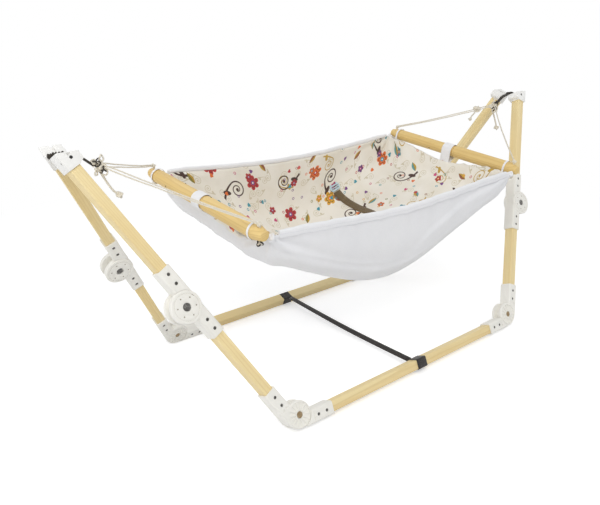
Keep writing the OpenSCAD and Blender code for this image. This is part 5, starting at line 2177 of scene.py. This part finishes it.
    def _rope(self, end: End, side: Side) -> None:
        """One doubled rope, from the apex knot to the knot on the bar, through it and to its stop knot."""
        name = f"{end.word}_{side.word}_rope"
        y = side.value * SIZES.rope_hole_y
        top, mouth, low = (self._bar_point(end, y, up) for up in (
            SIZES.bar_hole_r + 0.006, 0.006, -SIZES.bar_hole_r - 0.0065))
        knot = self._apex(end)
        sag = np.array((0, 0, -0.002))
        points = [knot + np.array((0, side.value * 0.005, 0)), knot * 2 / 3 + top / 3 + sag,
                  knot / 3 + top * 2 / 3 + sag, top + np.array((end.value * 0.0026, 0, 0.001))]
        rope = self._pair(f"{name}_doubled", spline(points, 24), 0.0062 if end is End.LEFT else 0.0045, 0.0031)
        self._hang(rope, *([f"{end.word}_ropes"] if side is Side.FRONT else []))
        self._hang(self._laid(f"{name}_through", spline([points[-1], mouth, low], 12), SIZES.rope_r))
        turn = Matrix.Rotation(0.9 * side.value + end.value, 3, "X") @ Matrix.Rotation(0.7, 3, "Y")
        self._hang(self._knot(f"{name}_bar_knot", top + np.array((end.value * 0.002, 0, 0.0005)), 0.0064, turn))
        self._hang(self._knot(f"{name}_stop_knot", low - np.array((0, 0, 0.0003)), 0.0065, turn))
        if (end, side) == (End.LEFT, Side.FRONT):
            route = knot_route(low + np.array((0, 0, 0.001)), 0.0072, turn)
            self._hang(self._braided(f"{name}_winding", route, 0.0016, True))
        if (end, side) == (End.RIGHT, Side.BACK):
            self._slip_knot(knot + (top - knot) * 0.16)

    def _slip_knot(self, place: Rows) -> None:
        """The adjusting knot on the back right rope, with its short end and that end's own knot."""
        turn = Matrix.Rotation(0.8, 3, "X")
        beside = place + np.array((-0.006, 0.004, 0.002))
        self._hang(join("slip_knot", [self._knot("slip_a", place, 0.0105, turn),
                                      self._knot("slip_b", beside, 0.008, Matrix.Rotation(1.4, 3, "Y"))]))
        route = spline([place + np.array(step) for step in self.slip_run], 8)
        self._free_end("slip_knot_end", "slip_knot_end_knot", route, route[-1], 0.0062, turn)

    def _bight(self, name: str, centre: Rows, wide: float, high: float, turn: Matrix) -> Item:
        """A slack loop of rope standing out of a knot."""
        route = np.array([centre + np.array(turn @ Vector((wide * math.cos(t), 0.0018 * math.sin(2 * t),
                                                           high * math.sin(t))))
                          for t in np.linspace(0, math.tau, 49)[:-1]])
        return self._laid(name, route, self.strand_r * 1.15, True)

    def _apex_knot(self, end: End) -> None:
        """The cluster of knots, slack loops and dark windings where the ropes and the cap cord meet."""
        def at(step: Point) -> Rows:
            """A place beside the knot's middle, mirrored with the end."""
            return self._apex(end) + np.array(step) * (end.value, 1, 1)

        parts = [self._knot(f"apex_part_{number}", at(step), size, Matrix.Rotation(turn, 3, axis))
                 for number, (step, size, turn, axis) in enumerate(self.lumps)]
        parts += [self._bight(f"apex_bight_{number}", at(step), wide, high, Matrix.Rotation(turn, 3, "Z"))
                  for number, (step, wide, high, turn) in enumerate(self.bights)]
        parts += [self._braided(f"apex_dark_{number}", knot_route(at(step), size, Matrix.Rotation(turn, 3, "X")),
                                self.winding_r, True)
                  for number, (step, size, turn) in enumerate(self.windings)]
        self._hang(join(f"{end.word}_apex_knot", parts))

    def _apex_cord(self, end: End) -> None:
        """The dark cord: two strands from the apex knot into the gap between the caps, and its coil there."""
        r = SIZES.apex_cord_r
        tip = np.array((-SIZES.knot_x - 0.014 - r + 0.0003, SIZES.hang_y + 0.002, SIZES.knot_z + 0.003))
        beside = np.array((0, 0.002, 0))
        front = np.array([tip - beside, *self.cord_run])
        strands = np.array([*front, *(front[:0:-1] * (1, -1, 1)), tip + beside])
        coil = self._coil_route(spline(self.coil_line, 40), self.coil_r, self.coil_turns)
        y = np.linspace(-0.0165, 0.0165, 12)
        cross = np.column_stack([np.full_like(y, self.coil_line[1][0]), y,
                                 np.full_like(y, self.coil_line[1][2] - 0.002)])
        mirror = (1 if end is End.LEFT else -1, 1, 1)
        name = f"{end.word}_apex_cord"
        cord = join(f"{name}_braided", [self._braided(f"{name}_strands", spline(strands * mirror, 14, True), r, True),
                                        self._braided(f"{name}_coil", coil * mirror, r * 0.9),
                                        self._braided(f"{name}_cross", cross * mirror, r * 0.9)])
        put_in_place(cord, "apex_cords", name)

    @staticmethod
    def _coil_route(line: Rows, radius: float, turns: int) -> Rows:
        """Uneven turns wound round a line.

        Args:
            line: Places along the coil's middle, one row each.
            radius: Distance of the turns from it.
            turns: How many there are.

        Returns:
            The places along them.
        """
        share = np.linspace(0, 1, turns * 18)
        index = share * (len(line) - 1)
        middle = np.column_stack([np.interp(index, np.arange(len(line)), line[:, axis]) for axis in range(3)])
        along = unit(line[-1:] - line[:1])[0]
        up = unit(np.cross(along, (0.0, 1.0, 0.0))[None])[0]
        side = np.cross(along, up)
        angle = share * turns * math.tau
        reach = radius * (1 + 0.16 * np.sin(share * 23.0) + 0.08 * np.sin(share * 61.0))
        return (middle + np.outer(reach * np.cos(angle), side) + np.outer(reach * np.sin(angle), up)
                + np.outer(0.0010 * np.sin(share * 31.0), along))

    def _tail(self, end: End) -> None:
        """The free end of a rope, with the knot tied in it."""
        route = spline(self.tail_run if end is End.LEFT else self.other_tail_run, 10)
        heading = unit(route[-1:] - route[-6:-5])[0]
        name = f"{end.word}_rope_tail"
        self._free_end(f"{name}_laid", f"{name}_knot", route, route[-1] + heading * 0.004, 0.0085,
                       Matrix.Rotation(0.5, 3, "Y"), name)

    def _free_end(self, name: str, knot_name: str, route: Rows, knot_at: Rows, size: float, turn: Matrix,
                  *nodes: str) -> None:
        """A rope's free end and the knot in it.

        Args:
            name, knot_name: Names of the two pieces.
            route: Places along the rope, one row each.
            knot_at: Middle of the knot.
            size: Radius of the room that the knot takes.
            turn: Which way the knot lies.
            nodes: The CAD nodes that they take the place of.
        """
        rope = self._laid(name, route, SIZES.rope_r)
        knot = self._knot(knot_name, knot_at, size, turn)
        self._hang(rope, *nodes)
        self._hang(knot)


# ---- Studio ----


@dataclass(frozen=True)
class SoftLight:
    """One area light aimed at a point."""

    name: str
    place: Point
    target: Point
    size: float
    power: float
    colour: tuple[float, float, float] = (1.0, 1.0, 1.0)

    def build(self) -> Item:
        """Makes the light.

        Returns:
            The light's object.
        """
        data = bpy.data.lights.new(self.name, "AREA")
        data.shape = "DISK"
        data.size = self.size
        data.energy = self.power
        data.color = self.colour
        item = link(bpy.data.objects.new(self.name, data))
        item.location = self.place
        away = Vector(self.place) - Vector(self.target)
        item.rotation_mode = "QUATERNION"
        item.rotation_quaternion = away.to_track_quat("Z", "Y")
        return item


@dataclass(frozen=True)
class Camera:
    """Where the photograph was taken from: yaw and roll about the view, pitch down, in degrees."""

    place: Point = (-1.1595, -1.2436, 0.8565)
    yaw: float = 39.0
    pitch: float = 19.55
    roll: float = -1.05
    focal_px: float = 643.9
    sensor: float = 36.0

    def build(self) -> Item:
        """Makes the scene's camera.

        Returns:
            The camera's object.
        """
        yaw, pitch, roll = (math.radians(a) for a in (self.yaw, self.pitch, self.roll))
        ahead = Vector((math.cos(pitch) * math.sin(yaw), math.cos(pitch) * math.cos(yaw), -math.sin(pitch)))
        level = Vector((math.cos(yaw), -math.sin(yaw), 0))
        upright = level.cross(ahead)
        right = level * math.cos(roll) + upright * math.sin(roll)
        up = upright * math.cos(roll) - level * math.sin(roll)
        data = bpy.data.cameras.new("camera")
        data.sensor_width = self.sensor
        data.lens = self.focal_px * self.sensor / FRAME_WIDTH_PX
        data.clip_start, data.clip_end = 0.05, 60.0
        item = link(bpy.data.objects.new("camera", data))
        turn = Matrix((right, up, -ahead)).transposed().to_4x4()
        item.matrix_world = Matrix.Translation(self.place) @ turn
        bpy.context.scene.camera = item
        return item


@dataclass(frozen=True)
class Studio:
    """A white floor that runs off into white, and large soft lights."""

    reach: float = 40.0
    floor_colour: Colour = (0.86, 0.86, 0.865, 1.0)
    world_level: float = 0.50
    floor_glow: float = 0.42
    lit_reach: tuple[float, float] = (0.9, 2.1)
    lights: tuple[SoftLight, ...] = (
        SoftLight("key", (-1.6, -2.0, 2.9), (0.0, 0.0, 0.3), 2.4, 48.0, (1.0, 0.99, 0.97)),
        SoftLight("fill", (2.6, -1.8, 1.9), (0.1, 0.0, 0.35), 2.6, 13.0, (0.97, 0.985, 1.0)),
        SoftLight("back", (-0.4, 2.8, 2.5), (0.0, 0.0, 0.3), 2.4, 15.0),
        SoftLight("left", (-3.0, 0.4, 0.9), (-0.2, 0.0, 0.4), 2.0, 14.0),
    )

    def build(self) -> None:
        """Makes the floor, the lights and the surroundings."""
        self._floor()
        for light in self.lights:
            light.build()
        self._world()
        view = bpy.context.scene.view_settings
        view.view_transform = "Standard"
        view.look = "None"
        view.exposure, view.gamma = 0.0, 1.0

    @staticmethod
    def _shown(graph: Graph) -> Value:
        """1 for rays that see the backdrop directly, in a gloss or through glass."""
        path = graph.add("ShaderNodeLightPath")
        return path["Is Camera Ray"].maximum(path["Is Glossy Ray"]).maximum(path["Is Transmission Ray"])

    def _floor(self) -> None:
        """The floor: plain white far away, with the object's soft shadow near it."""
        material = bpy.data.materials.new("studio_floor")
        material.use_nodes = True
        material.node_tree.nodes.clear()
        graph = Graph(material.node_tree)
        away = graph.vector("LENGTH", graph.place())["Value"]
        plain = graph.add("ShaderNodeBsdfDiffuse", {"Color": self.floor_colour, "Roughness": 0.0})[0]
        shown = self._shown(graph)
        glow = graph.add("ShaderNodeEmission", {"Color": WHITE, "Strength": shown * self.floor_glow})[0]
        near = graph.add("ShaderNodeAddShader", {0: plain, 1: glow})[0]
        white = graph.add("ShaderNodeEmission", {"Color": WHITE, "Strength": 1.0})[0]
        share = graph.smooth(away, *self.lit_reach) * shown
        both = graph.add("ShaderNodeMixShader", {0: share, 1: near, 2: white})[0]
        graph.add("ShaderNodeOutputMaterial", {"Surface": both})
        corners = [(x * self.reach, y * self.reach, 0) for x, y in ((-1, -1), (1, -1), (1, 1), (-1, 1))]
        floor = make_mesh("floor", corners, [(0, 1, 2, 3)], material)

    def _world(self) -> None:
        """Even pale surroundings, which the camera sees as white."""
        world = bpy.data.worlds.new("studio")
        bpy.context.scene.world = world
        world.use_nodes = True
        world.node_tree.nodes.clear()
        graph = Graph(world.node_tree)
        given = graph.add("ShaderNodeBackground", {"Color": (0.98, 0.99, 1.0, 1.0), "Strength": self.world_level})[0]
        seen = graph.add("ShaderNodeBackground", {"Color": WHITE, "Strength": 1.0})[0]
        both = graph.add("ShaderNodeMixShader", {0: self._shown(graph), 1: given, 2: seen})[0]
        graph.add("ShaderNodeOutputWorld", {"Surface": both})


def main() -> None:
    """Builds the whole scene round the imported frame."""
    logging.basicConfig(level=logging.INFO, format="%(name)s: %(message)s")
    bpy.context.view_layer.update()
    Camera().build()
    finishes = Finishes()
    trees = Trees()
    Rigging(finishes, trees).build()
    Stand(frame, finishes, trees).build()
    Bed(finishes, trees).build()
    Studio().build()


if __name__ == "__main__":
    main()
